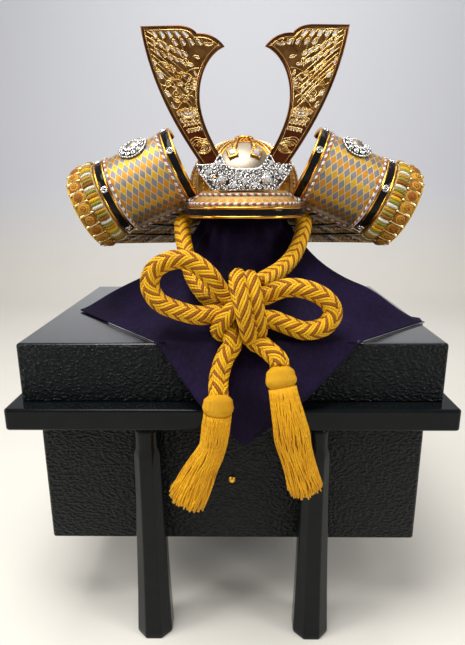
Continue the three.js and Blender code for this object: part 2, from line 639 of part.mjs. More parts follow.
function buildNeckGuard() {
  const start = BOWL.radius + WAIST.pastBowl + LAMES.clear;
  const pitch = LAMES.wide / LAMES.count;
  const front = WING.setBack + 1.5 * GAP;
  for (let k = 0; k < LAMES.count; k++) {
    const inner = start + k * pitch - (k > 0 ? LAMES.lap : 0);
    const outer = start + (k + 1) * pitch;
    const edges = [
      { r: inner, z: guardHeight(inner) - (k > 0 ? LAMES.dip : 0) },
      { r: outer, z: guardHeight(outer) },
    ];
    const rings = steps(20).map((t) => {
      const section = [[edges[0], 0], [edges[1], 0], [edges[1], LAMES.wall], [edges[0], LAMES.wall]];
      return section.map(([{ r, z }, down]) => {
        const first = Math.asin(front / r);
        const turn = mix(first, Math.PI - first, t);
        const y = r * Math.sin(turn);
        return V(r * Math.cos(turn), y, z - down - LAMES.backTilt * Math.max(0, y));
      });
    });
    addPiece(helmet, `neck_lame_${k + 1}`, loft(rings), LACING);
  }
}

// Cloth and stand

// Corners of the square cloth: direction in degrees, distance from the helmet's axis as share of its reach
const CLOTH_CORNERS = [
  { name: 'back', direction: 91, reach: 0.937 },
  { name: 'left', direction: 184.5, reach: 0.811 },
  { name: 'front', direction: 269.6, reach: 1 },
  { name: 'right', direction: 341, reach: 0.856 },
];

// Folds that run down the cloth: direction in degrees, lift as share of the neck height, width in degrees
const CLOTH_FOLDS = [
  { direction: 184.5, lift: 0.1, width: 16 }, { direction: 341, lift: 0.12, width: 14 },
  { direction: 212, lift: -0.05, width: 10 }, { direction: 232, lift: 0.05, width: 8 },
  { direction: 258, lift: 0.04, width: 7 }, { direction: 279, lift: 0.05, width: 8 },
  { direction: 300, lift: -0.04, width: 9 }, { direction: 318, lift: 0.05, width: 9 },
  { direction: 20, lift: 0.06, width: 12 }, { direction: 60, lift: -0.04, width: 12 },
  { direction: 91, lift: 0.06, width: 12 }, { direction: 135, lift: 0.07, width: 14 },
];

// Upper part of the cloth over the stand: shares of the neck radius and of the height inside the bowl
const CLOTH_CROWN = [
  { out: 0.12, up: 1 }, { out: 0.25, up: 0.984 }, { out: 0.55, up: 0.935 }, { out: 0.8, up: 0.8 },
  { out: 0.92, up: 0.52 }, { out: 0.97, up: 0.2 },
];

const clothTop = CROWN_HEIGHT - BOWL.wall - 2 * GAP;

function cornerPoint({ direction, reach }) {
  const r = reach * CLOTH.reach;
  return { x: r * Math.cos(radians(direction)), y: r * Math.sin(radians(direction)) };
}

// Reach of the hem in a direction, on the straight line between two corners
function hemReach(direction) {
  const count = CLOTH_CORNERS.length;
  for (let i = 0; i < count; i++) {
    const from = CLOTH_CORNERS[i];
    const to = CLOTH_CORNERS[(i + 1) % count];
    const span = (to.direction - from.direction + 360) % 360;
    const into = (direction - from.direction + 720) % 360;
    if (into > span) continue;
    const a = cornerPoint(from);
    const b = cornerPoint(to);
    const dx = Math.cos(radians(direction));
    const dy = Math.sin(radians(direction));
    return (a.x * (b.y - a.y) - a.y * (b.x - a.x)) / (dx * (b.y - a.y) - dy * (b.x - a.x));
  }
  return 0;
}

// Distance from the helmet's axis to the lid's end on the side that a direction points to
const lidEnd = (dx) => LID.wide / 2 - Math.sign(dx) * HELMET_SHIFT;

// Reach of the lid's edge in a direction from the helmet's axis
function lidReach(direction) {
  const dx = Math.cos(radians(direction));
  const dy = Math.sin(radians(direction));
  const sideX = lidEnd(dx) / Math.max(1e-6, Math.abs(dx));
  const sideY = LID.deep / 2 / Math.max(1e-6, Math.abs(dy));
  return Math.min(sideX, sideY);
}

// Directions of the cloth's radial lines: corners, crossings with the lid's edge, and even steps between
function clothDirections() {
  const marks = CLOTH_CORNERS.map(({ direction }) => direction);
  const tick = 0.25;
  for (let d = 0; d < 360; d += tick) {
    for (const past of [-CLOTH_EDGE.short, CLOTH.roll]) {
      const here = hemReach(d) - lidReach(d) - past;
      const next = hemReach(d + tick) - lidReach(d + tick) - past;
      if (here * next < 0) marks.push(d + tick * here / (here - next));
    }
  }
  marks.sort((a, b) => a - b);
  const directions = [];
  marks.forEach((mark, i) => {
    const span = ((marks[(i + 1) % marks.length] - mark) + 360) % 360;
    const count = Math.max(1, Math.round(span / CLOTH_LINES));
    for (let k = 0; k < count; k++) directions.push((mark + span * k / count) % 360);
  });
  return directions;
}

// Height of the tent above the lid at a distance from the axis
function tentHeight(direction, distance, foot) {
  const share = Math.min(1, Math.max(0, (foot - distance) / (foot - CLOTH.neckRadius)));
  let fold = 0;
  for (const { direction: at, lift, width } of CLOTH_FOLDS) {
    const off = ((direction - at + 540) % 360 - 180) / width;
    fold += lift * Math.exp(-off * off);
  }
  const swell = Math.sin(Math.PI * share) * NECK_HEIGHT * fold;
  return share ** CLOTH.flare * NECK_HEIGHT + swell;
}

// Surface point at a flat distance past the lid's edge: rolled over the edge, then out over the ledge
function hang(past, lift) {
  const quarter = CLOTH.roll * Math.PI / 2;
  const radius = CLOTH.roll - lift;
  const angle = Math.min(past, quarter) / CLOTH.roll;
  const down = Math.max(0, past - quarter);
  const overhang = LEDGE.pastFront + CLOTH_EDGE.pastLedge;
  const lean = Math.min(1, down / (LID.high - CLOTH_EDGE.aboveLedge));
  const settled = CLOTH.wall + CLOTH.rest;
  return {
    out: settled - CLOTH.roll + radius * Math.sin(angle) + overhang * lean ** 1.1,
    up: settled - CLOTH.roll + radius * Math.cos(angle) - down,
  };
}

function clothPoint(direction, distance, hem, lift) {
  const edge = lidReach(direction);
  const dx = Math.cos(radians(direction));
  const dy = Math.sin(radians(direction));
  const settled = CLOTH.wall + CLOTH.rest;
  const rollStart = edge - (CLOTH.roll - settled);
  const foot = Math.min(hem, rollStart - 1);
  if (distance <= rollStart) {
    const z = settled + tentHeight(direction, distance, foot);
    return V(distance * dx, distance * dy, z - lift);
  }
  const { out, up } = hang(distance - rollStart, lift);
  const overSide = Math.abs(dx * edge) >= lidEnd(dx) - 0.01;
  const shift = distance - rollStart;
  const x = overSide ? dx * edge + Math.sign(dx) * out : rollStart * dx + shift * dx;
  const y = overSide ? rollStart * dy + shift * dy : dy * edge + Math.sign(dy) * out;
  return V(x, y, up);
}

// Distance of a row past the lid's edge: two rows round the edge, where the cloth hangs far enough
function hangDistance(row, length) {
  const quarter = CLOTH.roll * Math.PI / 2;
  if (length < 2 * quarter) return row / 5 * length;
  return row < 3 ? row / 2 * quarter : mix(quarter, length, (row - 2) / 3);
}

function buildCloth() {
  const directions = clothDirections();
  const crownRing = ({ out, up }, lift) => directions.map((direction) => {
    const r = CLOTH.neckRadius * out - (up < 0.9 ? lift : 0);
    const z = mix(NECK_HEIGHT, clothTop, up) - (up < 0.9 ? 0 : lift);
    return V(r * Math.cos(radians(direction)), r * Math.sin(radians(direction)), z);
  });
  const slopeShares = [0, 0.12, 0.28, 0.48, 0.72, 1];
  const hangRows = [1, 2, 3, 4, 5];
  const settled = CLOTH.wall + CLOTH.rest;
  const skirtRing = (kind, share, lift) => directions.map((direction) => {
    const hem = hemReach(direction);
    const rollStart = lidReach(direction) - (CLOTH.roll - settled);
    const onLid = Math.min(rollStart, hem - CLOTH_EDGE.short);
    const distance = kind === 'slope' ? mix(CLOTH.neckRadius, onLid, share)
      : onLid + hangDistance(share, hem - onLid);
    const steep = kind === 'slope' && share < 0.3;
    const point = clothPoint(direction, distance, hem, steep ? 0 : lift);
    if (!steep) return point;
    const inward = lift * (1 - share);
    return V(point.x - inward * Math.cos(radians(direction)), point.y - inward * Math.sin(radians(direction)),
      point.z - lift * share * 2);
  });
  const outside = [
    ...CLOTH_CROWN.map((row) => crownRing(row, 0)),
    ...slopeShares.map((share) => skirtRing('slope', share, 0)),
    ...hangRows.map((row) => skirtRing('hang', row, 0)),
  ];
  const inside = [
    ...CLOTH_CROWN.map((row) => crownRing(row, CLOTH.wall)),
    ...slopeShares.map((share) => skirtRing('slope', share, CLOTH.wall)),
    ...hangRows.map((row) => skirtRing('hang', row, CLOTH.wall)),
  ];
  addPiece(helmet, 'drape_cloth', loft([...outside, ...inside.reverse()]), PURPLE);

  const standTop = clothTop - CLOTH.wall - 2 * GAP;
  const domeFoot = standTop - STAND.domeHigh;
  const dome = CLOTH.neckRadius - STAND.inCloth;
  const profile = [
    [STAND.footRadius, GAP], [STAND.footRadius, STAND.footHigh],
    [STAND.postRadius, STAND.footHigh], [STAND.postRadius, domeFoot],
    [dome * 0.95, domeFoot], [dome, domeFoot + STAND.domeEdge],
    [dome * 0.9, mix(domeFoot, standTop, 0.72)], [dome * 0.55, mix(domeFoot, standTop, 0.93)],
    [dome * 0.2, standTop],
  ];
  const rings = profile.map(([r, z]) => turns(12).map((turn) => V(r * Math.cos(turn), r * Math.sin(turn), z)));
  addPiece(helmet, 'helmet_stand', loft(rings), WOOD);
}

// Chin cord

// Centre lines of the cord's stretches, in the helmet's frame
const CORD_PATHS = {
  chin_cord_neck: [
    [-15.4, -117.6, 27.8], [-31, -108, 33], [-46, -92, 48], [-54, -72, 65], [-60, -52, 83],
    [-62.5, -30, 95], [-60, 0, 97.8], [-52, 30, 97.9], [-30, 52, 97.5], [0, 60, 97.3],
    [30, 52, 97.5], [52, 30, 97.9], [60, 0, 97.8], [60.5, -28, 95], [56, -50, 84],
    [47, -68, 68], [33, -88, 57], [17.6, -108, 51.4],
  ],
  bow_loop_left: [
    [-20, -128, 44], [-30.6, -128.5, 58.7], [-45.6, -129, 70.4], [-60.7, -130, 71.7], [-76.1, -131, 63.6],
    [-80.3, -132, 50.5], [-73.7, -133, 37.4], [-58.5, -134, 29.9], [-39, -135, 25.2], [-21.5, -135, 25.5],
  ],
  bow_loop_right: [
    [20.5, -127, 42], [33, -129, 47.5], [50.1, -130, 46.9], [68.1, -131, 38.4], [74.4, -133, 27.5],
    [68, -134.5, 16], [51.3, -135, 11.8], [35, -135, 17], [20.5, -135, 22],
  ],
  cord_tail_left: [
    [-10.5, -146, 6.6], [-11, -146, 2], [-17, -150.5, -7], [-21.8, -160, -21.5], [-22, -169, -30],
  ],
  cord_tail_right: [
    [11.5, -146, 6.6], [12, -146, 3.5], [20, -151.5, -1.5], [27.2, -158.3, -7], [27.8, -160.8, -11.2],
  ],
};

function buildCord() {
  const spacing = CORD.radius * 2.8;
  for (const [name, points] of Object.entries(CORD_PATHS)) {
    const path = new THREE.CatmullRomCurve3(points.map(([x, y, z]) => V(x, y, z)));
    const section = new THREE.Shape(turns(CORD.sides).map((turn) => (
      new THREE.Vector2(CORD.radius * Math.cos(turn), CORD.radius * Math.sin(turn))
    )));
    const count = Math.max(3, Math.round(path.getLength() / spacing));
    const tube = new THREE.ExtrudeGeometry(section, { steps: count, extrudePath: path, bevelEnabled: false });
    addPiece(helmet, name, tube, CORD_SILK);
  }

  const knot = [-1, -0.8, -0.4, 0, 0.4, 0.8, 1].map((up) => turns(14).map((turn) => {
    const share = Math.max(KNOT.end, (1 - Math.abs(up) ** 3) ** 0.5);
    const front = KNOT.front + KNOT.chin * Math.max(0, -up) ** 3;
    return V(KNOT.out + KNOT.halfWide * share * Math.cos(turn), -front + KNOT.halfDeep * share * Math.sin(turn),
      KNOT.up + up * KNOT.halfHigh);
  }));
  addPiece(helmet, 'cord_knot', loft(knot), CORD_SILK);
}

// Tassels: places down the skirt with the half widths across and front to back
const TASSELS = {
  tassel_left: [
    { x: -22, y: -171.5, z: -31.5, wide: 7 }, { x: -22, y: -173, z: -35, wide: 11.5 },
    { x: -22.2, y: -174, z: -41, wide: 12.5 }, { x: -22.6, y: -174, z: -48, wide: 11 },
    { x: -24, y: -175, z: -58, wide: 11.5 }, { x: -27, y: -175, z: -76, wide: 10.5 },
    { x: -37, y: -174, z: -98, wide: 13 }, { x: -50.7, y: -173, z: -128, wide: 16 },
  ],
  tassel_right: [
    { x: 27.8, y: -161, z: -11.5, wide: 7 }, { x: 28.2, y: -163, z: -15, wide: 11.5 },
    { x: 28.8, y: -165.5, z: -21, wide: 12.5 }, { x: 30, y: -168, z: -28, wide: 11 },
    { x: 33, y: -172, z: -42, wide: 12.5 }, { x: 37.5, y: -174, z: -64, wide: 14.5 },
    { x: 44, y: -174, z: -90, wide: 13 }, { x: 52.1, y: -173, z: -118.7, wide: 14.5 },
  ],
};
const TASSEL_LOCKS = { count: 8, groove: 0.9, depthShare: 0.85 };

function buildTassels() {
  for (const [name, stations] of Object.entries(TASSELS)) {
    const path = new THREE.CatmullRomCurve3(stations.map(({ x, y, z }) => V(x, y, z)));
    const rings = stations.map(({ wide }, row) => {
      const t = row / (stations.length - 1);
      const along = path.getTangent(t);
      const across = V(0, -1, 0).cross(along).normalize();
      const deep = along.clone().cross(across).normalize();
      return turns(TASSEL_LOCKS.count * 2).map((turn, i) => {
        const groove = row > 3 && i % 2 ? TASSEL_LOCKS.groove : 1;
        return path.getPoint(t)
          .addScaledVector(across, wide * groove * Math.cos(turn))
          .addScaledVector(deep, wide * groove * TASSEL_LOCKS.depthShare * Math.sin(turn));
      });
    });
    addPiece(helmet, name, loft(rings), CORD_SILK);
  }
}

buildBox();
buildBowl();
buildVisor();
buildCrest();
buildWing('left', -1);
buildWing('right', 1);
buildNeckGuard();
buildCloth();
buildCord();
buildTassels();

export default model;
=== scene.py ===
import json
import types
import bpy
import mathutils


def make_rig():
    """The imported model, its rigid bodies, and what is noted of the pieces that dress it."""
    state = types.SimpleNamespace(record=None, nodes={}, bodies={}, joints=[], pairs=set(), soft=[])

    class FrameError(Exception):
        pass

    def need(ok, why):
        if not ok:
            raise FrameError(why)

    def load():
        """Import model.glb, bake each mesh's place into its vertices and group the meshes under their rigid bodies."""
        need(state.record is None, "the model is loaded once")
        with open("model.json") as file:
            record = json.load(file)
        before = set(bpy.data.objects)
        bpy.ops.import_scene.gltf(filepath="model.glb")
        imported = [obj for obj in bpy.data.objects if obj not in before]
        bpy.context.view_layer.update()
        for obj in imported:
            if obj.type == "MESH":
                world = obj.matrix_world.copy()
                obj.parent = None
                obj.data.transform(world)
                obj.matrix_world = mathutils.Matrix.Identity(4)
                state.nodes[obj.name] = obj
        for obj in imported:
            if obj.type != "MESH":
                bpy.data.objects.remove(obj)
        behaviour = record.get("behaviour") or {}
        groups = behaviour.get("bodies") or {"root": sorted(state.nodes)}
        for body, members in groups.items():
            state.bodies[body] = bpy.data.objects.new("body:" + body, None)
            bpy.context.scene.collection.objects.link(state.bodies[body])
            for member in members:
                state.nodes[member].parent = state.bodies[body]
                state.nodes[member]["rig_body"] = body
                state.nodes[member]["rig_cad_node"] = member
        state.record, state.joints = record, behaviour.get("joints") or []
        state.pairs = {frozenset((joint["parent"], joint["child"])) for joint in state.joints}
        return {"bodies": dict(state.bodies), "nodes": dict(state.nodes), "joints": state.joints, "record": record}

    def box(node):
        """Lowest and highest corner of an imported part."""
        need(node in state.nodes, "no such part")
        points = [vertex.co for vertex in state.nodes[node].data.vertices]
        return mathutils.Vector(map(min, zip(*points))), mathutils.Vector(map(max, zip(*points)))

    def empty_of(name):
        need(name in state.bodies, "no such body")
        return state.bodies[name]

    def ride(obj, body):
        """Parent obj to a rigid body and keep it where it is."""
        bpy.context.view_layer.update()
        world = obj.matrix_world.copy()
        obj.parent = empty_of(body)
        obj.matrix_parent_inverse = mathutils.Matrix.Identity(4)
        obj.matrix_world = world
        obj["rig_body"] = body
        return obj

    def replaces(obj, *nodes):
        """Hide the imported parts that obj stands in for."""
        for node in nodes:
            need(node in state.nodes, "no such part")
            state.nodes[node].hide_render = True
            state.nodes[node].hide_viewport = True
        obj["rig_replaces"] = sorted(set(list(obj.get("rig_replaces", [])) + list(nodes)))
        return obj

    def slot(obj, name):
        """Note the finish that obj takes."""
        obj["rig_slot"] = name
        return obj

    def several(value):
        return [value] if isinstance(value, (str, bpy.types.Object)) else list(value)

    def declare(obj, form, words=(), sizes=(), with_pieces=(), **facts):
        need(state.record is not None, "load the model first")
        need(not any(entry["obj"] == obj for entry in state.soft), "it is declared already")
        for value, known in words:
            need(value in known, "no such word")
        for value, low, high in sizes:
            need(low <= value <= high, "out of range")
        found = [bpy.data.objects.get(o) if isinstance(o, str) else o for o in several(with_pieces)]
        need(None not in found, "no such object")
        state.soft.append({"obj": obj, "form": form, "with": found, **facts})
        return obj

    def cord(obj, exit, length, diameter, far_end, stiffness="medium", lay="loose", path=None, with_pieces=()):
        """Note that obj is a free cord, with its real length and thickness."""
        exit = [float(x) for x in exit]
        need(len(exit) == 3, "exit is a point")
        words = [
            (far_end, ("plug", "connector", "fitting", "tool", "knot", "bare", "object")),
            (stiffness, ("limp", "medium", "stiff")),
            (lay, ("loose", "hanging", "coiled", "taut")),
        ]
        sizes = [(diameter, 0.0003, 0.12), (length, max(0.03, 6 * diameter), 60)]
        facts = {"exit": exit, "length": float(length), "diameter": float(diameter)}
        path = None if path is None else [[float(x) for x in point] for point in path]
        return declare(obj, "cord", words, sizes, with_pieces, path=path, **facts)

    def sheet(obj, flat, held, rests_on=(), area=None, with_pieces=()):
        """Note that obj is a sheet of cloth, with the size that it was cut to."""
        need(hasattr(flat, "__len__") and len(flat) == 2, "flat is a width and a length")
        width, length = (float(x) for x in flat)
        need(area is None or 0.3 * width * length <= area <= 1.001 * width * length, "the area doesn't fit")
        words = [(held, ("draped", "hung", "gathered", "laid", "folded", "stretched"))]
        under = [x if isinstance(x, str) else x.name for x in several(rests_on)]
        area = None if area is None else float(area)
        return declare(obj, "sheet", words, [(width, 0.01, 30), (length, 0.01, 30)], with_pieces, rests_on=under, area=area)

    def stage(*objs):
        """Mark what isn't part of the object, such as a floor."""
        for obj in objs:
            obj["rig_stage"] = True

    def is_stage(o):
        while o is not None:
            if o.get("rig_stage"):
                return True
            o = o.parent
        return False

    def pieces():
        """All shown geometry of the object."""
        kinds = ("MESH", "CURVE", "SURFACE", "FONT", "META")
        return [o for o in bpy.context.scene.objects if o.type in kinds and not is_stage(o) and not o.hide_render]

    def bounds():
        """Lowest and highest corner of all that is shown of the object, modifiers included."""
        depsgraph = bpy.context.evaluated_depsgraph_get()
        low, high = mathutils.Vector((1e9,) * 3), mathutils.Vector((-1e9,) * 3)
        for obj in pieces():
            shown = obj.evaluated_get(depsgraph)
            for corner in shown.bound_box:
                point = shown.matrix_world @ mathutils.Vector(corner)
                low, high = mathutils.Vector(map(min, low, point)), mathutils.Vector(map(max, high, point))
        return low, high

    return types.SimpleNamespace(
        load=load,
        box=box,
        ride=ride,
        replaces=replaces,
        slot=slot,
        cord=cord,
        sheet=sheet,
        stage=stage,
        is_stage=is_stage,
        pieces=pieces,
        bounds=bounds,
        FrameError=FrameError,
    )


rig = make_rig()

bl_info = {
    "name": "Kabuto Display Helmet",
    "version": (1, 0, 0),
    "blender": (4, 5, 0),
    "location": "View3D > Sidebar > Kabuto",
    "description": "Builds a horned display helmet on its draped stand and lacquered box",
    "category": "Add Mesh",
}

import json
import math

import bmesh
import bpy
import numpy as np
from mathutils import Matrix, Vector, noise

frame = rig.load()
CAD_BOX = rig.bounds()

# The helmet's own frame: its axis over the box, heights counted from the top of the lid, in millimetres
MM = 0.001
LID_LOW, LID_HIGH = (np.array(corner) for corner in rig.box("lid"))
BOWL_LOW, BOWL_HIGH = (np.array(corner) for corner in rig.box("bowl"))
HELMET_AXIS = (BOWL_LOW[0] + BOWL_HIGH[0]) / 2
LID_TOP = LID_HIGH[2]
BODY = "root"


def in_frame(points):
    """Helmet millimetres to metres in the frame."""
    return np.asarray(points, float) * MM + np.array([HELMET_AXIS, 0.0, LID_TOP])


# Mesh making

class Skin:
    """Points, faces, UVs and material slots gathered for one piece."""

    def __init__(self):
        self.points = []
        self.count = 0
        self.loops = []
        self.sizes = []
        self.uvs = []
        self.slots = []

    def grid(self, rows, uv=None, wrap=False, loop=False, slot=0, caps=False):
        """Quads over rows of points; wrap closes each row, loop joins the last row to the first."""
        rows = np.asarray(rows, float)
        n, m = rows.shape[:2]
        high, wide = (n if loop else n - 1), (m if wrap else m - 1)
        i, j = np.meshgrid(np.arange(high), np.arange(wide), indexing="ij")

        def index(a, b):
            return self.count + (a % n) * m + (b % m)

        faces = np.stack([index(i, j), index(i, j + 1), index(i + 1, j + 1), index(i + 1, j)], -1).reshape(-1, 4)
        if uv is None:
            u, v = np.meshgrid(np.linspace(0, 1, wide + 1), np.linspace(0, 1, high + 1))
            uv = np.stack([u, v], -1)
        corners = np.stack([uv[i, j], uv[i, j + 1], uv[i + 1, j + 1], uv[i + 1, j]], 2).reshape(-1, 2)
        self.points.append(rows.reshape(-1, 3))
        self.loops.append(faces.reshape(-1))
        self.sizes.append(np.full(len(faces), 4))
        self.uvs.append(corners)
        self.slots.append(np.full(len(faces), slot))
        if caps and not loop:
            for row, start in ((0, 0), (n - 1, (n - 1) * m)):
                ring = self.count + start + np.arange(m)
                self.loops.append(ring[::-1] if row == 0 else ring)
                self.sizes.append(np.array([m]))
                self.uvs.append(np.tile(uv[row, 0], (m, 1)))
                self.slots.append(np.array([slot]))
        self.count += n * m

    def mesh_object(self, name, finishes, smooth=True, outward=True, sharp=None):
        mesh = bpy.data.meshes.new(name)
        points = in_frame(np.concatenate(self.points))
        loops = np.concatenate(self.loops).astype(np.int32)
        sizes = np.concatenate(self.sizes).astype(np.int32)
        mesh.vertices.add(len(points))
        mesh.vertices.foreach_set("co", points.reshape(-1).astype(np.float32))
        mesh.loops.add(len(loops))
        mesh.loops.foreach_set("vertex_index", loops)
        mesh.polygons.add(len(sizes))
        starts = np.concatenate([[0], np.cumsum(sizes)[:-1]]).astype(np.int32)
        mesh.polygons.foreach_set("loop_start", starts)
        mesh.polygons.foreach_set("material_index", np.concatenate(self.slots).astype(np.int32))
        mesh.update(calc_edges=True)
        layer = mesh.uv_layers.new(name="UVMap")
        layer.data.foreach_set("uv", np.concatenate(self.uvs).reshape(-1).astype(np.float32))
        for finish in finishes:
            mesh.materials.append(finish)
        if outward:
            turn_outward(mesh)
        mesh.polygons.foreach_set("use_smooth", np.full(len(sizes), smooth))
        if sharp is not None:
            mesh.set_sharp_from_angle(angle=math.radians(sharp))
        mesh.validate()
        piece = bpy.data.objects.new(name, mesh)
        bpy.context.scene.collection.objects.link(piece)
        return piece


def turn_outward(mesh):
    work = bmesh.new()
    work.from_mesh(mesh)
    bmesh.ops.recalc_face_normals(work, faces=work.faces)
    work.to_mesh(mesh)
    work.free()


def unit(vectors):
    length = np.linalg.norm(vectors, axis=-1, keepdims=True)
    return vectors / np.maximum(length, 1e-9)


def curve_through(points, step, closed=False):
    """Centripetal Catmull-Rom curve through the points, sampled at even steps of length."""
    points = [np.array(p, float) for p in points]
    count = len(points)
    if closed:
        get = lambda k: points[k % count]
    else:
        first, last = 2 * points[0] - points[1], 2 * points[-1] - points[-2]
        get = lambda k: first if k < 0 else last if k >= count else points[k]
    dense = []
    for k in range(count if closed else count - 1):
        a, b, c, d = get(k - 1), get(k), get(k + 1), get(k + 2)
        gaps = [max(math.sqrt(np.linalg.norm(q - p)), 1e-4) for p, q in ((a, b), (b, c), (c, d))]
        out = ((b - a) / gaps[0] - (c - a) / (gaps[0] + gaps[1]) + (c - b) / gaps[1]) * gaps[1]
        into = ((c - b) / gaps[1] - (d - b) / (gaps[1] + gaps[2]) + (d - c) / gaps[2]) * gaps[1]
        for t in np.linspace(0, 1, 16, endpoint=False):
            dense.append((2 * t**3 - 3 * t**2 + 1) * b + (t**3 - 2 * t**2 + t) * out
                         + (3 * t**2 - 2 * t**3) * c + (t**3 - t**2) * into)
    dense.append(get(count) if closed else points[-1])
    return even_steps(np.array(dense), step)


def even_steps(line, step):
    lengths = np.concatenate([[0], np.cumsum(np.linalg.norm(np.diff(line, axis=0), axis=1))])
    count = max(2, int(round(lengths[-1] / step)) + 1)
    at = np.linspace(0, lengths[-1], count)
    return np.stack([np.interp(at, lengths, line[:, k]) for k in range(3)], -1)


def run_lengths(line):
    return np.concatenate([[0], np.cumsum(np.linalg.norm(np.diff(line, axis=0), axis=1))])


def carried_axes(line, up=None):
    """Tangents and two cross axes carried along a line without twist."""
    tangents = unit(np.gradient(line, axis=0))
    start = np.array(up if up is not None else ([0, 0, 1] if abs(tangents[0][2]) < 0.9 else [0, -1, 0]), float)
    normal = unit(start - tangents[0] * np.dot(start, tangents[0]))
    normals = []
    for tangent in tangents:
        normal = unit(normal - tangent * np.dot(normal, tangent))
        normals.append(normal)
    normals = np.array(normals)
    return tangents, normals, np.cross(tangents, normals)


def circle(sides, radius=1.0, squash=1.0):
    turn = np.linspace(0, 2 * math.pi, sides, endpoint=False)
    return np.stack([radius * np.cos(turn), radius * squash * np.sin(turn)], -1)


def sweep(skin, line, section, slot=0, up=None, closed=False, scale=None):
    """Tube of a closed section along a line, with UVs in metres along it."""
    line = np.asarray(line, float)
    _, normals, sides = carried_axes(line, up)
    if closed:
        line, normals, sides = line[:-1], normals[:-1], sides[:-1]
    size = np.ones(len(line)) if scale is None else np.asarray(scale)
    rows = (line[:, None] + section[None, :, 0, None] * normals[:, None] * size[:, None, None]
            + section[None, :, 1, None] * sides[:, None] * size[:, None, None])
    along = run_lengths(np.vstack([line, line[:1]]) if closed else line) * MM
    around = np.linspace(0, 1, len(section) + 1)
    uv = np.stack(np.broadcast_arrays(around[None, :], along[:, None]), -1)
    skin.grid(rows, uv, wrap=True, loop=closed, slot=slot, caps=True)


def ball(skin, centre, radius, slot=0, rows=6, sides=8, axis=(0, 0, 1), squash=1.0):
    """Small sphere, squashed along an axis, poles closed."""
    axis = unit(np.array(axis, float))
    a = unit(np.cross(axis, [0.3, 1, 0.1]))
    b = np.cross(axis, a)
    lat = np.linspace(-math.pi / 2 * 0.9, math.pi / 2 * 0.9, rows)
    turn = np.linspace(0, 2 * math.pi, sides, endpoint=False)
    rings = [np.array(centre) + radius * squash * math.sin(t) * axis
             + radius * math.cos(t) * (np.cos(turn)[:, None] * a + np.sin(turn)[:, None] * b) for t in lat]
    skin.grid(np.array(rings), wrap=True, slot=slot, caps=True)


# Shader making

class Value:
    """A shader socket; arithmetic on it adds Math nodes."""

    def __init__(self, tree, socket):
        self.tree = tree
        self.socket = socket

    def math(self, operation, *terms):
        node = self.tree.nodes.new("ShaderNodeMath")
        node.operation = operation
        for slot, term in zip(node.inputs, terms):
            plug(self.tree, slot, term)
        return Value(self.tree, node.outputs[0])

    def __add__(self, other):
        return self.math("ADD", self, other)

    def __sub__(self, other):
        return self.math("SUBTRACT", self, other)

    def __rsub__(self, other):
        return self.math("SUBTRACT", other, self)

    def __mul__(self, other):
        return self.math("MULTIPLY", self, other)

    def __truediv__(self, other):
        return self.math("DIVIDE", self, other)

    def __gt__(self, other):
        return self.math("GREATER_THAN", self, other)

    def __lt__(self, other):
        return self.math("LESS_THAN", self, other)

    def __mod__(self, other):
        return self.math("FLOORED_MODULO", self, other)

    __radd__ = __add__
    __rmul__ = __mul__

    def floor(self):
        return self.math("FLOOR", self)

    def size(self):
        return self.math("ABSOLUTE", self)

    def sine(self):
        return self.math("SINE", self)

    def between(self, low, high):
        node = self.tree.nodes.new("ShaderNodeMapRange")
        node.interpolation_type = "SMOOTHSTEP"
        for key, term in (("Value", self), ("From Min", low), ("From Max", high)):
            plug(self.tree, node.inputs[key], term)
        return Value(self.tree, node.outputs[0])


def plug(tree, slot, term):
    if isinstance(term, Value):
        tree.links.new(term.socket, slot)
    elif term is not None:
        slot.default_value = term


def tone(color):
    return (*color, 1.0) if len(color) == 3 else color


class Finish:
    """One material: its node tree and its Principled shader."""

    def __init__(self, name):
        self.material = bpy.data.materials.new(name)
        self.material.use_nodes = True
        self.tree = self.material.node_tree
        self.shader = self.tree.nodes["Principled BSDF"]

    def node(self, kind, settings=None, inputs=None, output=0):
        """Adds a node, sets what it is, then the values or links of its sockets."""
        made = self.tree.nodes.new("ShaderNode" + kind)
        for key, value in (settings or {}).items():
            if key == "stops":
                set_stops(made.color_ramp, value)
            elif key == "interpolation":
                made.color_ramp.interpolation = value
            else:
                setattr(made, key, value)
        for key, term in (inputs or {}).items():
            plug(self.tree, made.inputs[key], term)
        return Value(self.tree, made.outputs[output])

    def object_place(self):
        return self.node("TexCoord", output=3)

    def surface_place(self):
        return self.node("UVMap", {"uv_map": "UVMap"})

    def parts(self, vector):
        split = self.tree.nodes.new("ShaderNodeSeparateXYZ")
        plug(self.tree, split.inputs[0], vector)
        return [Value(self.tree, socket) for socket in split.outputs]

    def noise(self, place, scale, detail=2.0, roughness=0.5, stretch=None):
        if stretch is not None:
            place = self.node("Mapping", None, {"Vector": place, "Scale": stretch})
        return self.node("TexNoise", None, {"Vector": place, "Scale": scale, "Detail": detail,
                                            "Roughness": roughness})

    def blend(self, factor, low, high):
        """Mixes two colours, given as tuples or links."""
        mixer = self.tree.nodes.new("ShaderNodeMix")
        mixer.data_type = "RGBA"
        plug(self.tree, mixer.inputs[0], factor)
        for slot, term in ((mixer.inputs[6], low), (mixer.inputs[7], high)):
            plug(self.tree, slot, term if isinstance(term, Value) else tone(term))
        return Value(self.tree, mixer.outputs[2])

    def bump(self, height, distance, strength=1.0, under=None):
        return self.node("Bump", None, {"Height": height, "Distance": distance, "Strength": strength,
                                        "Normal": under})

    def finish(self, **sockets):
        """Sets the shader's sockets: a name such as Base_Color, and a value, colour or link."""
        for key, term in sockets.items():
            slot = self.shader.inputs[key.replace("_", " ")]
            if not isinstance(term, Value) and slot.type == "RGBA":
                term = tone(term)
            plug(self.tree, slot, term)
        return self.material


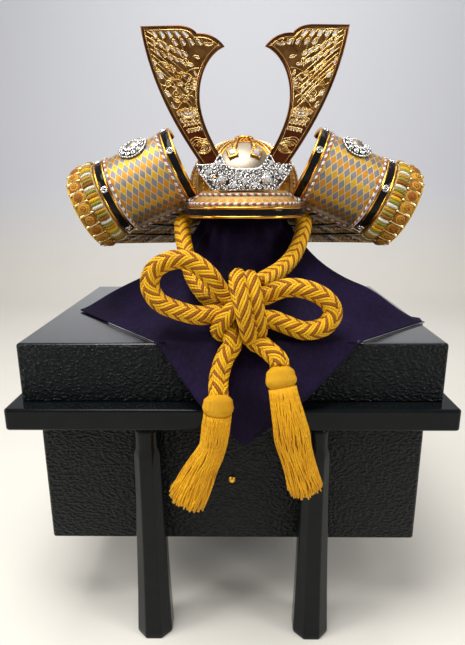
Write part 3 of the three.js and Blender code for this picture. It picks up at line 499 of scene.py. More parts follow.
def set_stops(ramp, stops):
    while len(ramp.elements) < len(stops):
        ramp.elements.new(0.5)
    for element, (position, color) in zip(ramp.elements, stops):
        element.position = position
        element.color = tone(color)


# Finishes of the box

def lacquer(name, hammered):
    """Gloss black lacquer, with a fine hammered relief where asked."""
    make = Finish(name)
    place = make.object_place()
    cloud = make.noise(place, 60.0, 3.0)
    dents = make.noise(place, 260.0, 2.0, 0.45, (1.0, 1.0, 1.5))
    grains = make.noise(place, 620.0, 2.0, 0.5)
    top = make.parts(place)[2].between(LID_TOP - 0.0012, LID_TOP - 0.0004)
    height = dents.between(0.35, 0.75) * (1.0 if hammered else 0.04) + grains * (0.25 if hammered else 0.02)
    height = height * (1 - top * 0.98)
    return make.finish(
        Base_Color=make.blend(cloud, (0.003, 0.0035, 0.004), (0.007, 0.009, 0.010)),
        Roughness=cloud * 0.10 + (0.15 if hammered else 0.06),
        Specular_IOR_Level=0.16 if hammered else 0.15,
        Coat_Weight=top * (1.0 if hammered else 0.3),
        Coat_Roughness=0.12,
        Normal=make.bump(height, 0.0014 if hammered else 0.0004, 0.8 if hammered else 0.3),
    )


def metal(name, dark, light, roughness, grain=300.0, dent=0.0002):
    """Metal whose tone and gloss vary finely."""
    make = Finish(name)
    place = make.object_place()
    cloud = make.noise(place, grain, 3.0)
    wear = make.noise(place, grain / 6, 2.0)
    return make.finish(
        Base_Color=make.blend(wear.between(0.3, 0.7), dark, light),
        Metallic=1.0,
        Roughness=cloud * 0.16 + (roughness - 0.08),
        Normal=make.bump(cloud, dent, 0.35),
    )


def horn_metal(name):
    """Bronze that turns from red-brown at the horn's foot to gold in its openwork."""
    make = Finish(name)
    place = make.object_place()
    height = make.parts(place)[2]
    cloud = make.noise(place, 160.0, 3.0)
    foot = make.blend(cloud, (0.10, 0.018, 0.006), (0.20, 0.045, 0.012))
    blade = make.blend(cloud.between(0.3, 0.7), (0.17, 0.070, 0.018), (0.33, 0.155, 0.045))
    low = (LID_TOP + HORN["foot"] * MM) + 0.035
    return make.finish(
        Base_Color=make.blend(height.between(low, low + 0.022), foot, blade),
        Metallic=0.9,
        Roughness=cloud * 0.18 + 0.2,
        Normal=make.bump(cloud, 0.0002, 0.4),
    )


def wood(name):
    make = Finish(name)
    place = make.object_place()
    grain = make.noise(place, 90.0, 4.0, 0.6, (1.0, 1.0, 0.12))
    return make.finish(
        Base_Color=make.blend(grain.between(0.3, 0.7), (0.36, 0.22, 0.10), (0.60, 0.43, 0.24)),
        Roughness=grain * 0.2 + 0.5,
        Normal=make.bump(grain, 0.0002, 0.4),
    )


def enamel(name, color, roughness=0.15):
    make = Finish(name)
    cloud = make.noise(make.object_place(), 200.0, 3.0)
    return make.finish(
        Base_Color=make.blend(cloud, color, tuple(c * 1.5 + 0.001 for c in color)),
        Roughness=cloud * 0.1 + (roughness - 0.07),
        Specular_IOR_Level=0.13,
        Normal=make.bump(cloud, 0.0001, 0.2),
    )


def crystal(name):
    make = Finish(name)
    cloud = make.noise(make.object_place(), 900.0, 1.0)
    return make.finish(
        Base_Color=make.blend(cloud.between(0.35, 0.65), (0.72, 0.76, 0.86), (0.98, 0.98, 1.0)),
        Metallic=0.55,
        Roughness=cloud * 0.08 + 0.02,
        Coat_Weight=1.0,
        Coat_Roughness=0.02,
    )


# Finishes of the silk and cloth

def silk(name, dark, light, thread=0.0006, sheen=0.4):
    """Twisted silk yarn: fine slanted threads on UVs of turn and metres."""
    make = Finish(name)
    u, v, _ = make.parts(make.surface_place())
    wave = ((u * 4.0 + v / (thread * 5.0)) * (2 * math.pi)).sine() * 0.5 + 0.5
    fine = make.noise(make.surface_place(), 40.0, 3.0, 0.6, (4.0, 60.0, 1.0))
    long = make.noise(make.object_place(), 60.0, 2.0)
    mask = (wave * 0.35 + fine * 0.45 + long * 0.5).between(0.3, 0.85)
    return make.finish(
        Base_Color=make.blend(mask, dark, light),
        Roughness=0.62 - wave * 0.18,
        Specular_IOR_Level=0.25,
        Sheen_Weight=sheen,
        Sheen_Roughness=0.4,
        Sheen_Tint=light,
        Normal=make.bump(wave * 0.6 + fine * 0.4, 0.0003, 0.7),
    )


def crepe(name, dark, light, lining=False):
    """Crinkled crepe cloth, with a soft pile on the purple side."""
    make = Finish(name)
    place = make.object_place()
    pebble = make.noise(place, 900.0, 2.0, 0.6)
    crinkle = make.noise(place, 260.0, 2.0, 0.5, (1.0, 1.0, 0.7))
    broad = make.noise(place, 25.0, 2.0)
    mask = (pebble * 0.5 + crinkle * 0.3 + broad * 0.4).between(0.35, 0.85)
    return make.finish(
        Base_Color=make.blend(mask, dark, light),
        Roughness=0.55 if lining else 0.8,
        Sheen_Weight=0.1 if lining else 0.03,
        Sheen_Roughness=0.3,
        Specular_IOR_Level=0.15,
        Sheen_Tint=light,
        Normal=make.bump(pebble * 0.6 + crinkle * 0.7, 0.0004 if lining else 0.0011, 0.3 if lining else 0.8),
    )


def brocade(name, gold_tones, silver_tones):
    """Woven lozenges in rows of two metals with pale outlines, on UVs in metres."""
    make = Finish(name)
    u, v, _ = make.parts(make.surface_place())
    across, down = u / 0.0066, v / 0.0116
    p, q = across + down, across - down
    row = (p.floor() - q.floor()) % 4.0
    edge_p = ((p % 1.0) - 0.5).size() * 2.0
    edge_q = ((q % 1.0) - 0.5).size() * 2.0
    edge = edge_p.math("MAXIMUM", edge_p, edge_q)
    outline = edge.between(0.91, 0.98)
    weave = ((u / 0.00042) * (2 * math.pi)).sine() * ((v / 0.00042) * (2 * math.pi)).sine()
    speck = make.noise(make.surface_place(), 1400.0, 2.0)
    gold = make.blend(row > 1.5, *gold_tones)
    silver = make.blend(speck, *silver_tones)
    body = make.blend((row % 2.0) > 0.5, gold, silver)
    shaded = make.blend(speck.between(0.3, 0.7) * 0.35, body, (0.25, 0.16, 0.05))
    return make.finish(
        Base_Color=make.blend(outline, shaded, (0.82, 0.68, 0.42)),
        Metallic=0.62 - outline * 0.2,
        Roughness=speck * 0.2 + 0.26,
        Normal=make.bump(weave * 0.2 + (1 - outline) * 0.5, 0.0003, 0.5),
    )


def edging(name):
    """Herringbone edging cord in white, red and dark green, with painted shade in the grooves between its beats, on UVs
    of turn and metres.
    """
    make = Finish(name)
    u, v, _ = make.parts(make.surface_place())
    slant = ((u + 0.25) % 0.5 - 0.25).size() * 4.0
    beat = v / 0.0017 + slant
    cell = beat.floor() % 4.0
    # Grooves between the beats: painted shade darkens them to dark brown, and the bump sinks them
    groove_shade = ((beat % 1.0) - 0.5).size() * 2.0
    red = make.blend((cell > 1.5) * (cell < 2.5), (0.93, 0.90, 0.84), (0.62, 0.05, 0.03))
    body = make.blend(cell > 2.5, red, (0.10, 0.16, 0.09))
    return make.finish(
        Base_Color=make.blend(groove_shade.between(0.72, 0.95), body, (0.20, 0.12, 0.06)),
        Roughness=0.6,
        Sheen_Weight=0.2,
        Normal=make.bump(1 - groove_shade.between(0.4, 1.0), 0.0004, 0.8),
    )


def laced(name, colors, width=0.0042, length=0.008):
    """Rows of silk laces whose colours change from lace to lace, darkened by painted shade at their sides and ends, on
    UVs in metres.
    """
    make = Finish(name)
    u, v, _ = make.parts(make.surface_place())
    column = (u / width).floor()
    row = (v / length).floor()
    pick = make.node("TexWhiteNoise", {"noise_dimensions": "2D"}, {
        "Vector": make.node("CombineXYZ", None, {"X": column, "Y": row})})
    steps = [(k / len(colors), color) for k, color in enumerate(colors)]
    tones = make.node("ValToRGB", {"stops": steps, "interpolation": "CONSTANT"}, {"Fac": pick})
    rib = (((u / width) % 1.0) - 0.5).size() * 2.0
    step = ((v / length) % 1.0)
    thread = ((u / 0.0007 + v / 0.0011) * (2 * math.pi)).sine() * 0.5 + 0.5
    # Painted shade: each lace darkens to near black towards its sides and towards the foot of its row, where it meets
    # the next lace
    groove_shade = rib.between(0.65, 1.0) * 0.7 + step.between(0.85, 1.0) * 0.5
    shade = groove_shade.math("MINIMUM", groove_shade, 0.9)
    return make.finish(
        Base_Color=make.blend(shade, tones, (0.05, 0.03, 0.02)),
        Roughness=0.62,
        Sheen_Weight=0.3,
        Normal=make.bump((1 - rib.between(0.3, 1.0)) + thread * 0.25 - step.between(0.8, 1.0), 0.0006, 0.8),
    )


FINISHES = {}


def make_finishes():
    gold_dark, gold_light = (0.55, 0.22, 0.02), (0.88, 0.48, 0.08)
    FINISHES.update(
        lacquer_hammered=lacquer("lacquer_hammered", True),
        lacquer_smooth=lacquer("lacquer_smooth", False),
        wood=wood("wood"),
        gold=metal("gold", gold_dark, gold_light, 0.2),
        pale_gold=metal("pale_gold", (0.7, 0.46, 0.16), (0.98, 0.78, 0.42), 0.25),
        brass=metal("brass", (0.80, 0.38, 0.03), (0.95, 0.55, 0.08), 0.42),
        silver=metal("silver", (0.66, 0.65, 0.63), (0.95, 0.94, 0.92), 0.14, 700.0),
        silver_deep=metal("silver_deep", (0.05, 0.045, 0.04), (0.16, 0.15, 0.14), 0.35, 500.0),
        champagne=metal("champagne", (0.30, 0.25, 0.18), (0.46, 0.39, 0.30), 0.44, 120.0),
        horn_bronze=horn_metal("horn_bronze"),
        horn_gold=metal("horn_gold", (0.72, 0.42, 0.11), (0.98, 0.72, 0.30), 0.22, 400.0),
        horn_border=metal("horn_border", (0.10, 0.034, 0.012), (0.19, 0.070, 0.024), 0.24, 200.0),
        black_enamel=enamel("black_enamel", (0.006, 0.006, 0.007)),
        crystal=crystal("crystal"),
        silk_yellow=silk("silk_yellow", (0.46, 0.18, 0.003), (0.90, 0.53, 0.012), sheen=0.12),
        silk_gold=silk("silk_gold", (0.26, 0.10, 0.006), (0.62, 0.32, 0.022), sheen=0.1),
        silk_brown=silk("silk_brown", (0.13, 0.030, 0.002), (0.36, 0.115, 0.006), sheen=0.1),
        silk_white=silk("silk_white", (0.40, 0.34, 0.22), (0.86, 0.82, 0.70)),
        silk_green=silk("silk_green", (0.12, 0.11, 0.012), (0.36, 0.33, 0.05)),
        tassel_silk=silk("tassel_silk", (0.56, 0.20, 0.004), (0.97, 0.52, 0.014), 0.0009, 0.15),
        crepe_purple=crepe("crepe_purple", (0.0008, 0.0003, 0.0030), (0.0135, 0.0050, 0.036)),
        lining=crepe("lining", (0.50, 0.50, 0.55), (0.82, 0.82, 0.86), True),
        hem_white=crepe("hem_white", (0.75, 0.74, 0.74), (0.92, 0.91, 0.9), True),
        brocade=brocade("brocade", [(0.86, 0.47, 0.025), (0.66, 0.28, 0.010)],
                        [(0.17, 0.17, 0.19), (0.34, 0.34, 0.36)]),
        brocade_orange=brocade("brocade_orange", [(0.74, 0.31, 0.015), (0.55, 0.16, 0.006)],
                               [(0.62, 0.38, 0.12), (0.80, 0.58, 0.26)]),
        edging=edging("edging"),
        guard_lacing=laced("guard_lacing", [(0.78, 0.52, 0.08), (0.36, 0.17, 0.04), (0.80, 0.56, 0.10),
                                            (0.80, 0.76, 0.66), (0.55, 0.30, 0.05), (0.22, 0.10, 0.16)]),
        strip_backing=laced("strip_backing", [(0.60, 0.38, 0.06), (0.42, 0.22, 0.04), (0.70, 0.5, 0.12)],
                            0.002, 0.003),
    )


def use(*names):
    return [FINISHES[name] for name in names]


def dress(piece, slot, *nodes):
    """Rides the piece on the one body, names its record slot and hides what it stands for."""
    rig.ride(piece, BODY)
    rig.slot(piece, slot)
    if nodes:
        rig.replaces(piece, *nodes)


def mixed(low, high, share):
    return low + (high - low) * share


def box_mm(node):
    """Lowest and highest corner of a CAD node in helmet millimetres."""
    offset = np.array([HELMET_AXIS, 0.0, LID_TOP])
    low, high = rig.box(node)
    return (np.array(low) - offset) / MM, (np.array(high) - offset) / MM


# Geometry Nodes: beads set along lines, and wires drawn along lines

def line_curves(name, lines):
    """Curve object with one poly spline for each line of helmet points."""
    curve = bpy.data.curves.new(name, "CURVE")
    curve.dimensions = "3D"
    for line in lines:
        spline = curve.splines.new("POLY")
        spline.points.add(len(line) - 1)
        flat = np.concatenate([in_frame(line), np.ones((len(line), 1))], axis=1)
        spline.points.foreach_set("co", flat.reshape(-1).astype(np.float32))
    source = bpy.data.objects.new(name, curve)
    bpy.context.scene.collection.objects.link(source)
    return source


def new_tree(name, sizes):
    """Node group with a geometry in and out, named sizes and one material input."""
    tree = bpy.data.node_groups.new(name, "GeometryNodeTree")
    tree.interface.new_socket("Geometry", in_out="INPUT", socket_type="NodeSocketGeometry")
    for label, value in sizes.items():
        socket = tree.interface.new_socket(label, in_out="INPUT", socket_type="NodeSocketFloat")
        socket.default_value = value
    tree.interface.new_socket("Finish", in_out="INPUT", socket_type="NodeSocketMaterial")
    tree.interface.new_socket("Geometry", in_out="OUTPUT", socket_type="NodeSocketGeometry")
    return tree, tree.nodes.new("NodeGroupInput"), tree.nodes.new("NodeGroupOutput")


def bead_tree():
    """Sets round beads at an even spacing along every spline."""
    tree, given, result = new_tree("beads_along", {"Spacing": 0.003, "Radius": 0.001})
    spread = tree.nodes.new("GeometryNodeResampleCurve")
    bead = tree.nodes.new("GeometryNodeMeshIcoSphere")
    bead.inputs["Subdivisions"].default_value = 2
    put = tree.nodes.new("GeometryNodeInstanceOnPoints")
    real = tree.nodes.new("GeometryNodeRealizeInstances")
    smooth = tree.nodes.new("GeometryNodeSetShadeSmooth")
    paint = tree.nodes.new("GeometryNodeSetMaterial")
    link = tree.links.new
    set_resample_to_length(spread)
    link(given.outputs["Geometry"], spread.inputs["Curve"])
    link(given.outputs["Spacing"], spread.inputs["Length"])
    link(given.outputs["Radius"], bead.inputs["Radius"])
    link(spread.outputs[0], put.inputs["Points"])
    link(bead.outputs["Mesh"], put.inputs["Instance"])
    link(put.outputs[0], real.inputs[0])
    link(real.outputs[0], smooth.inputs[0])
    link(smooth.outputs[0], paint.inputs["Geometry"])
    link(given.outputs["Finish"], paint.inputs["Material"])
    link(paint.outputs[0], result.inputs[0])
    return tree


def set_resample_to_length(node):
    if hasattr(node, "mode"):
        node.mode = "LENGTH"
    else:
        node.inputs["Mode"].default_value = "Length"


def wire_tree():
    """Draws a closed round wire along every spline."""
    tree, given, result = new_tree("wire_along", {"Radius": 0.0004, "Sides": 6.0})
    profile = tree.nodes.new("GeometryNodeCurvePrimitiveCircle")
    draw = tree.nodes.new("GeometryNodeCurveToMesh")
    draw.inputs["Fill Caps"].default_value = True
    real = tree.nodes.new("GeometryNodeRealizeInstances")
    smooth = tree.nodes.new("GeometryNodeSetShadeSmooth")
    paint = tree.nodes.new("GeometryNodeSetMaterial")
    link = tree.links.new
    link(given.outputs["Radius"], profile.inputs["Radius"])
    link(given.outputs["Sides"], profile.inputs["Resolution"])
    link(given.outputs["Geometry"], draw.inputs["Curve"])
    link(profile.outputs[0], draw.inputs["Profile Curve"])
    link(draw.outputs[0], real.inputs[0])
    link(real.outputs[0], smooth.inputs[0])
    link(smooth.outputs[0], paint.inputs["Geometry"])
    link(given.outputs["Finish"], paint.inputs["Material"])
    link(paint.outputs[0], result.inputs[0])
    return tree


TREES = {}


def grow(name, tree_name, lines, finish, **sizes):
    """Runs a tree over lines and returns its result as a plain mesh object."""
    if tree_name not in TREES:
        TREES[tree_name] = {"beads": bead_tree, "wire": wire_tree}[tree_name]()
    tree = TREES[tree_name]
    source = line_curves(name + "_lines", lines)
    modifier = source.modifiers.new("grow", "NODES")
    modifier.node_group = tree
    keys = {item.name: item.identifier for item in tree.interface.items_tree if item.in_out == "INPUT"}
    for label, value in sizes.items():
        modifier[keys[label]] = value
    modifier[keys["Finish"]] = FINISHES[finish]
    bpy.context.view_layer.update()
    shown = source.evaluated_get(bpy.context.evaluated_depsgraph_get())
    mesh = bpy.data.meshes.new_from_object(shown)
    mesh.name = name
    piece = bpy.data.objects.new(name, mesh)
    bpy.context.scene.collection.objects.link(piece)
    bpy.data.objects.remove(source)
    return piece


def joined(name, pieces):
    """Joins pieces into the first of them."""
    bpy.ops.object.select_all(action="DESELECT")
    for piece in pieces:
        piece.select_set(True)
    bpy.context.view_layer.objects.active = pieces[0]
    bpy.ops.object.join()
    pieces[0].name = name
    pieces[0].data.name = name
    return pieces[0]


# Storage box

def rounded_ring(low, high, inset, corner, z, steps=6, support=0.8):
    """Points round a rounded rectangle, with support points beside its corners."""
    x0, y0, x1, y1 = low[0] + inset, low[1] + inset, high[0] - inset, high[1] - inset
    radius = max(corner - inset, 0.5)
    ring = []
    centres = [(x1 - radius, y0 + radius, -90), (x1 - radius, y1 - radius, 0),
               (x0 + radius, y1 - radius, 90), (x0 + radius, y0 + radius, 180)]
    for cx, cy, start in centres:
        turn = np.radians(np.linspace(start, start + 90, steps + 1))
        arc = np.stack([cx + radius * np.cos(turn), cy + radius * np.sin(turn)], -1)
        before, after = np.array([np.sin(turn[0]), -np.cos(turn[0])]), np.array([-np.sin(turn[-1]), np.cos(turn[-1])])
        ring += [arc[0] + before * support, *arc, arc[-1] + after * support]
    return np.array([[x, y, z] for x, y in ring])


def fillet_rows(low, high, corner, fillet, z_from, z_to, count=4, support=0.8):
    """Rings from a flat at z_from round an edge and up or down the side towards z_to."""
    away = 1 if z_to > z_from else -1
    rows = [rounded_ring(low, high, fillet + support, corner, z_from, support=support)]
    for turn in np.linspace(0, math.pi / 2, count + 1):
        inset = fillet * (1 - math.sin(turn))
        rows.append(rounded_ring(low, high, inset, corner, z_from + away * fillet * (1 - math.cos(turn)),
                                 support=support))
    rows.append(rounded_ring(low, high, 0, corner, z_from + away * (fillet + support), support=support))
    return rows


def build_box(sizes):
    board, corner = sizes.board_thickness / MM, sizes.corner_radius / MM
    for node, open_end, fillet, finish in (("lid", "bottom", 3.0, "lacquer_hammered"),
                                           ("lower_box", "top", 1.6, "lacquer_hammered")):
        low, high = box_mm(node)
        open_z, shut_z = (low[2], high[2]) if open_end == "bottom" else (high[2], low[2])
        into = 1 if open_end == "bottom" else -1
        inner_low, inner_high = low + board, high - board
        rows = [rounded_ring(inner_low, inner_high, 1, corner, shut_z - into * board),
                rounded_ring(inner_low, inner_high, 0, corner, shut_z - into * board),
                rounded_ring(inner_low, inner_high, 0, corner, open_z + into),
                rounded_ring(inner_low, inner_high, 0, corner, open_z),
                rounded_ring(low, high, 0.6, corner, open_z),
                rounded_ring(low, high, 0, corner, open_z + into * 0.6),
                rounded_ring(low, high, 0, corner, open_z + into * 1.4)]
        rows += fillet_rows(low, high, corner, fillet, shut_z, open_z)[::-1]
        skin = Skin()
        skin.grid(rows, wrap=True, caps=True)
        dress(skin.mesh_object(f"{node}_lacquer", use(finish)), "black_lacquer", node)

    low, high = box_mm("ledge")
    chest_low, chest_high = box_mm("lower_box")
    rows = [rounded_ring(chest_low + board, chest_high - board, 0, corner, low[2]),
            *fillet_rows(low, high, corner, 2.2, low[2], high[2]),
            *fillet_rows(low, high, corner, 2.2, high[2], low[2])[::-1],
            rounded_ring(chest_low + board, chest_high - board, 0, corner, high[2])]
    skin = Skin()
    skin.grid(rows, wrap=True, loop=True)
    dress(skin.mesh_object("ledge_lacquer", use("lacquer_smooth"), sharp=50), "black_lacquer", "ledge")

    for node in ("leg_front_left", "leg_front_right", "leg_back_left", "leg_back_right"):
        dress(build_leg(node, sizes), "black_lacquer", node)


def build_stud():
    low, high = box_mm("front_stud")
    centre = np.array([(low[0] + high[0]) / 2, high[1], (low[2] + high[2]) / 2])
    radius, proud = (high[0] - low[0]) / 2, high[1] - low[1]
    skin = Skin()
    profile = [(radius, 0), (radius, proud * 0.2), (radius * 0.96, proud * 0.35), (radius * 0.85, proud * 0.45),
               (radius * 0.8, proud * 0.55), (radius * 0.6, proud * 0.85), (radius * 0.25, proud)]
    boss(skin, centre, (0, -1, 0), profile, 36)
    dress(skin.mesh_object("front_stud_brass", use("brass")), "brass_stud", "front_stud")


def build_stand():
    """The stand under the cloth keeps its solid and gets its wood."""
    stand = bpy.data.objects["helmet_stand"]
    stand.data.materials.clear()
    stand.data.materials.append(FINISHES["wood"])


def leg_ring(x, y, wide, deep, cut, round_share, z):
    """Chamfered section of a leg, turning to an oval towards its round head."""
    a, b = wide / 2, deep / 2
    bead = 1.0
    corners = [(a - cut, -b), (a, -b + cut), (a, b - cut), (a - cut, b),
               (-a + cut, b), (-a, b - cut), (-a, -b + cut), (-a + cut, -b)]
    ring = []
    for k, corner in enumerate(corners):
        corner = np.array(corner)
        before, after = np.array(corners[k - 1]), np.array(corners[(k + 1) % 8])
        start = corner + unit(before - corner) * bead
        end = corner + unit(after - corner) * bead
        ring += [start + unit(before - corner) * 0.8, start, 0.25 * start + 0.5 * corner + 0.25 * end, end,
                 end + unit(after - corner) * 0.8]
    ring = np.array(ring)
    turn = np.arctan2(ring[:, 1] / b, ring[:, 0] / a)
    oval = np.stack([a * np.cos(turn), b * np.sin(turn)], -1) * 0.985
    flat = mixed(ring, oval, round_share)
    return np.column_stack([flat[:, 0] + x, flat[:, 1] + y, np.full(len(flat), z)])


def build_leg(node, sizes):
    low, high = box_mm(node)
    tall = high[2] - low[2]
    front = low[1] < 0
    inner_y = high[1] if front else low[1]
    foot_wide, foot_deep = high[0] - low[0], high[1] - low[1]
    top_wide, top_deep = sizes.leg_top_width / MM, sizes.leg_top_depth / MM
    rows = []
    marks = np.concatenate([[0.0, 0.004, 0.012], np.linspace(0.03, 0.86, 18), np.linspace(0.872, 0.93, 7),
                            [0.95, 0.975, 0.987, 0.994, 1.0]])
    for share in marks:
        swell = (1 - share) ** 2
        wide, deep = mixed(top_wide, foot_wide, swell), mixed(top_deep, foot_deep, swell)
        y = inner_y + (-deep / 2 if front else deep / 2)
        trim = 1 - 0.05 * max(0, (0.012 - share) / 0.012) - 0.12 * max(0, (share - 0.985) / 0.015) ** 2
        head = min(1, max(0, (share - 0.875) / 0.035))
        rows.append(leg_ring((low[0] + high[0]) / 2, y, wide * trim, deep * trim, wide * 0.28 * trim, head,
                             low[2] + share * tall))
    skin = Skin()
    skin.grid(rows, wrap=True, caps=True)
    return skin.mesh_object(f"{node}_lacquer", use("lacquer_smooth"), sharp=55)


# Chin cord: the routes of its stretches

CORD_ROUTES = {
    "chin_cord_neck": [
        (-15.4, -117.6, 27.8), (-31, -108, 33), (-46, -92, 48), (-54, -72, 65), (-60, -52, 83), (-62.5, -30, 95),
        (-60, 0, 97.8), (-52, 30, 97.9), (-30, 52, 97.5), (0, 60, 97.3), (30, 52, 97.5), (52, 30, 97.9),
        (60, 0, 97.8), (60.5, -28, 95), (56, -50, 84), (47, -68, 68), (33, -88, 57), (17.6, -108, 51.4), (11, -117, 49)],
    "bow_loop_left": [
        (-20, -128, 44), (-30.6, -128.5, 58.7), (-45.6, -129, 70.4), (-60.7, -130, 71.7), (-76.1, -131, 63.6),
        (-80.3, -132, 50.5), (-73.7, -133, 37.4), (-58.5, -134, 29.9), (-39, -135, 25.2), (-21.5, -135, 25.5)],
    "bow_loop_right": [
        (20.5, -127, 42), (33, -129, 47.5), (50.1, -130, 46.9), (68.1, -131, 38.4), (74.4, -133, 27.5),
        (68, -134.5, 16), (51.3, -135, 11.8), (35, -135, 17), (20.5, -135, 22)],
    "cord_tail_left": [(-10.5, -146, 6.6), (-11, -146, 2), (-17, -150.5, -7), (-21.8, -160, -21.5), (-22, -169, -30), (-22, -171, -33.5)],
    "cord_tail_right": [(11.5, -146, 6.6), (12, -146, 3.5), (20, -151.5, -1.5), (27.2, -158.3, -7),
                        (27.8, -160.8, -11.2)],
}

# Wraps of the bow knot, each a stretch of the same cord, in helmet millimetres
KNOT_WRAPS = [
    [(-6, -124, 50), (-6, -134, 58), (-6, -144, 53), (-3, -151, 41), (0, -152.5, 28), (3, -150, 15),
     (4, -142, 7.5), (4, -132, 9)],
    [(4, -122, 48), (4, -131, 56), (5, -140, 53), (7, -146, 42), (9, -147, 30), (11, -145, 18),
     (11, -139, 10), (9, -130, 11)],
    [(2, -138, 42), (-8, -145, 35), (-17, -146, 25), (-22, -142, 15), (-19, -133, 9), (-10, -124, 10)],
]


# Where the stretches start inside the knot, and the turn that the right one takes in it
KNOT_STARTS = {"neck": [], "left": [(-8, -128, 37)], "right": [(8, -127, 37)]}
KNOT_TURN = [(20.5, -135, 22), (9, -137, 19), (5, -141, 10), (10, -145.5, 3.5)]


def braid(skin, line, radius, pitch, yarns=15, tones=(0, 0, 1), step=1.9):
    """Square eight-strand braid: yarns wind both ways, each over in its own two columns and under between."""
    line = even_steps(line, step)
    tangents, normals, sides = carried_axes(line)
    along = run_lengths(line)
    core, rise = radius * 0.74, radius * 0.11
    half_wide, half_high = radius * 0.142, radius * 0.13
    section = circle(6)
    sweep(skin, line, circle(10, radius * 0.66), slot=1)
    for way in (1, -1):
        for k in range(yarns):
            turn = way * 2 * math.pi * along / pitch + 2 * math.pi * (k + (0 if way > 0 else 0.5)) / yarns
            swing = np.cos(2 * turn)
            out = core + way * rise * np.sign(swing) * np.abs(swing) ** 0.6
            spoke = np.cos(turn)[:, None] * normals + np.sin(turn)[:, None] * sides
            centre = line + out[:, None] * spoke
            run = unit(np.gradient(centre, axis=0))
            across = unit(np.cross(run, spoke))
            rows = (centre[:, None] + half_wide * section[None, :, 0, None] * across[:, None]
                    + half_high * section[None, :, 1, None] * spoke[:, None])
            uv_along = run_lengths(centre) * MM
            around = np.linspace(0, 1, len(section) + 1)
            uv = np.stack(np.broadcast_arrays(around[None, :], uv_along[:, None]), -1)
            skin.grid(rows, uv, wrap=True, slot=tones[k % len(tones)], caps=True)


def build_cord(sizes):
    radius, pitch = sizes.diameter / 2 / MM, sizes.braid_pitch / MM
    finishes = ("silk_yellow", "silk_brown")
    knot_skin = Skin()
    for wrap in KNOT_WRAPS:
        braid(knot_skin, curve_through(wrap, 1.5), radius * 0.94, pitch)
    centre = np.array([1, -134, 31.5])
    ball(knot_skin, centre, 13.5, slot=1, rows=10, sides=16, squash=1.5)
    knot = knot_skin.mesh_object("bow_knot_braid", use(*finishes), outward=False)
    dress(knot, "gold_cord", "cord_knot")

    stretches = {
        "neck": (["chin_cord_neck"], [knot]),
        "left": (["bow_loop_left", "cord_tail_left"], [build_tassel("left", sizes)]),
        "right": (["bow_loop_right", "cord_tail_right"], [build_tassel("right", sizes)]),
    }
    for name, (nodes, pieces) in stretches.items():
        route = KNOT_STARTS[name] + [point for node in nodes for point in CORD_ROUTES[node]]
        if name == "right":
            route[-6:-4] = KNOT_TURN
        line = curve_through(route, 2.0)
        skin = Skin()
        braid(skin, line, radius, pitch)
        piece = skin.mesh_object(f"cord_{name}_braid", use(*finishes), outward=False)
        dress(piece, "gold_cord", *nodes)
        path = [tuple(point) for point in in_frame(even_steps(line, 6.0))]
        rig.cord(piece, exit=path[0], length=round(float(run_lengths(line)[-1]) * MM, 4), diameter=sizes.diameter,
                far_end="knot" if name == "neck" else "fitting", stiffness="limp",
                lay="loose" if name == "neck" else "hanging", path=path, with_pieces=pieces)


# Tassels: places down the skirt with the half width, in helmet millimetres
TASSELS = {
    "left": [(-22, -171.5, -31.5, 7), (-22, -173, -35, 11.5), (-22.2, -174, -41, 12.5), (-22.6, -174, -48, 11),
             (-24, -175, -58, 11.5), (-27, -175, -76, 10.5), (-37, -174, -98, 13), (-50.7, -173, -128, 16)],
    "right": [(27.8, -161, -11.5, 7), (28.2, -163, -15, 11.5), (28.8, -165.5, -21, 12.5), (30, -168, -28, 11),
              (33, -172, -42, 12.5), (37.5, -174, -64, 14.5), (44, -174, -90, 13), (52.1, -173, -118.7, 14.5)],
}


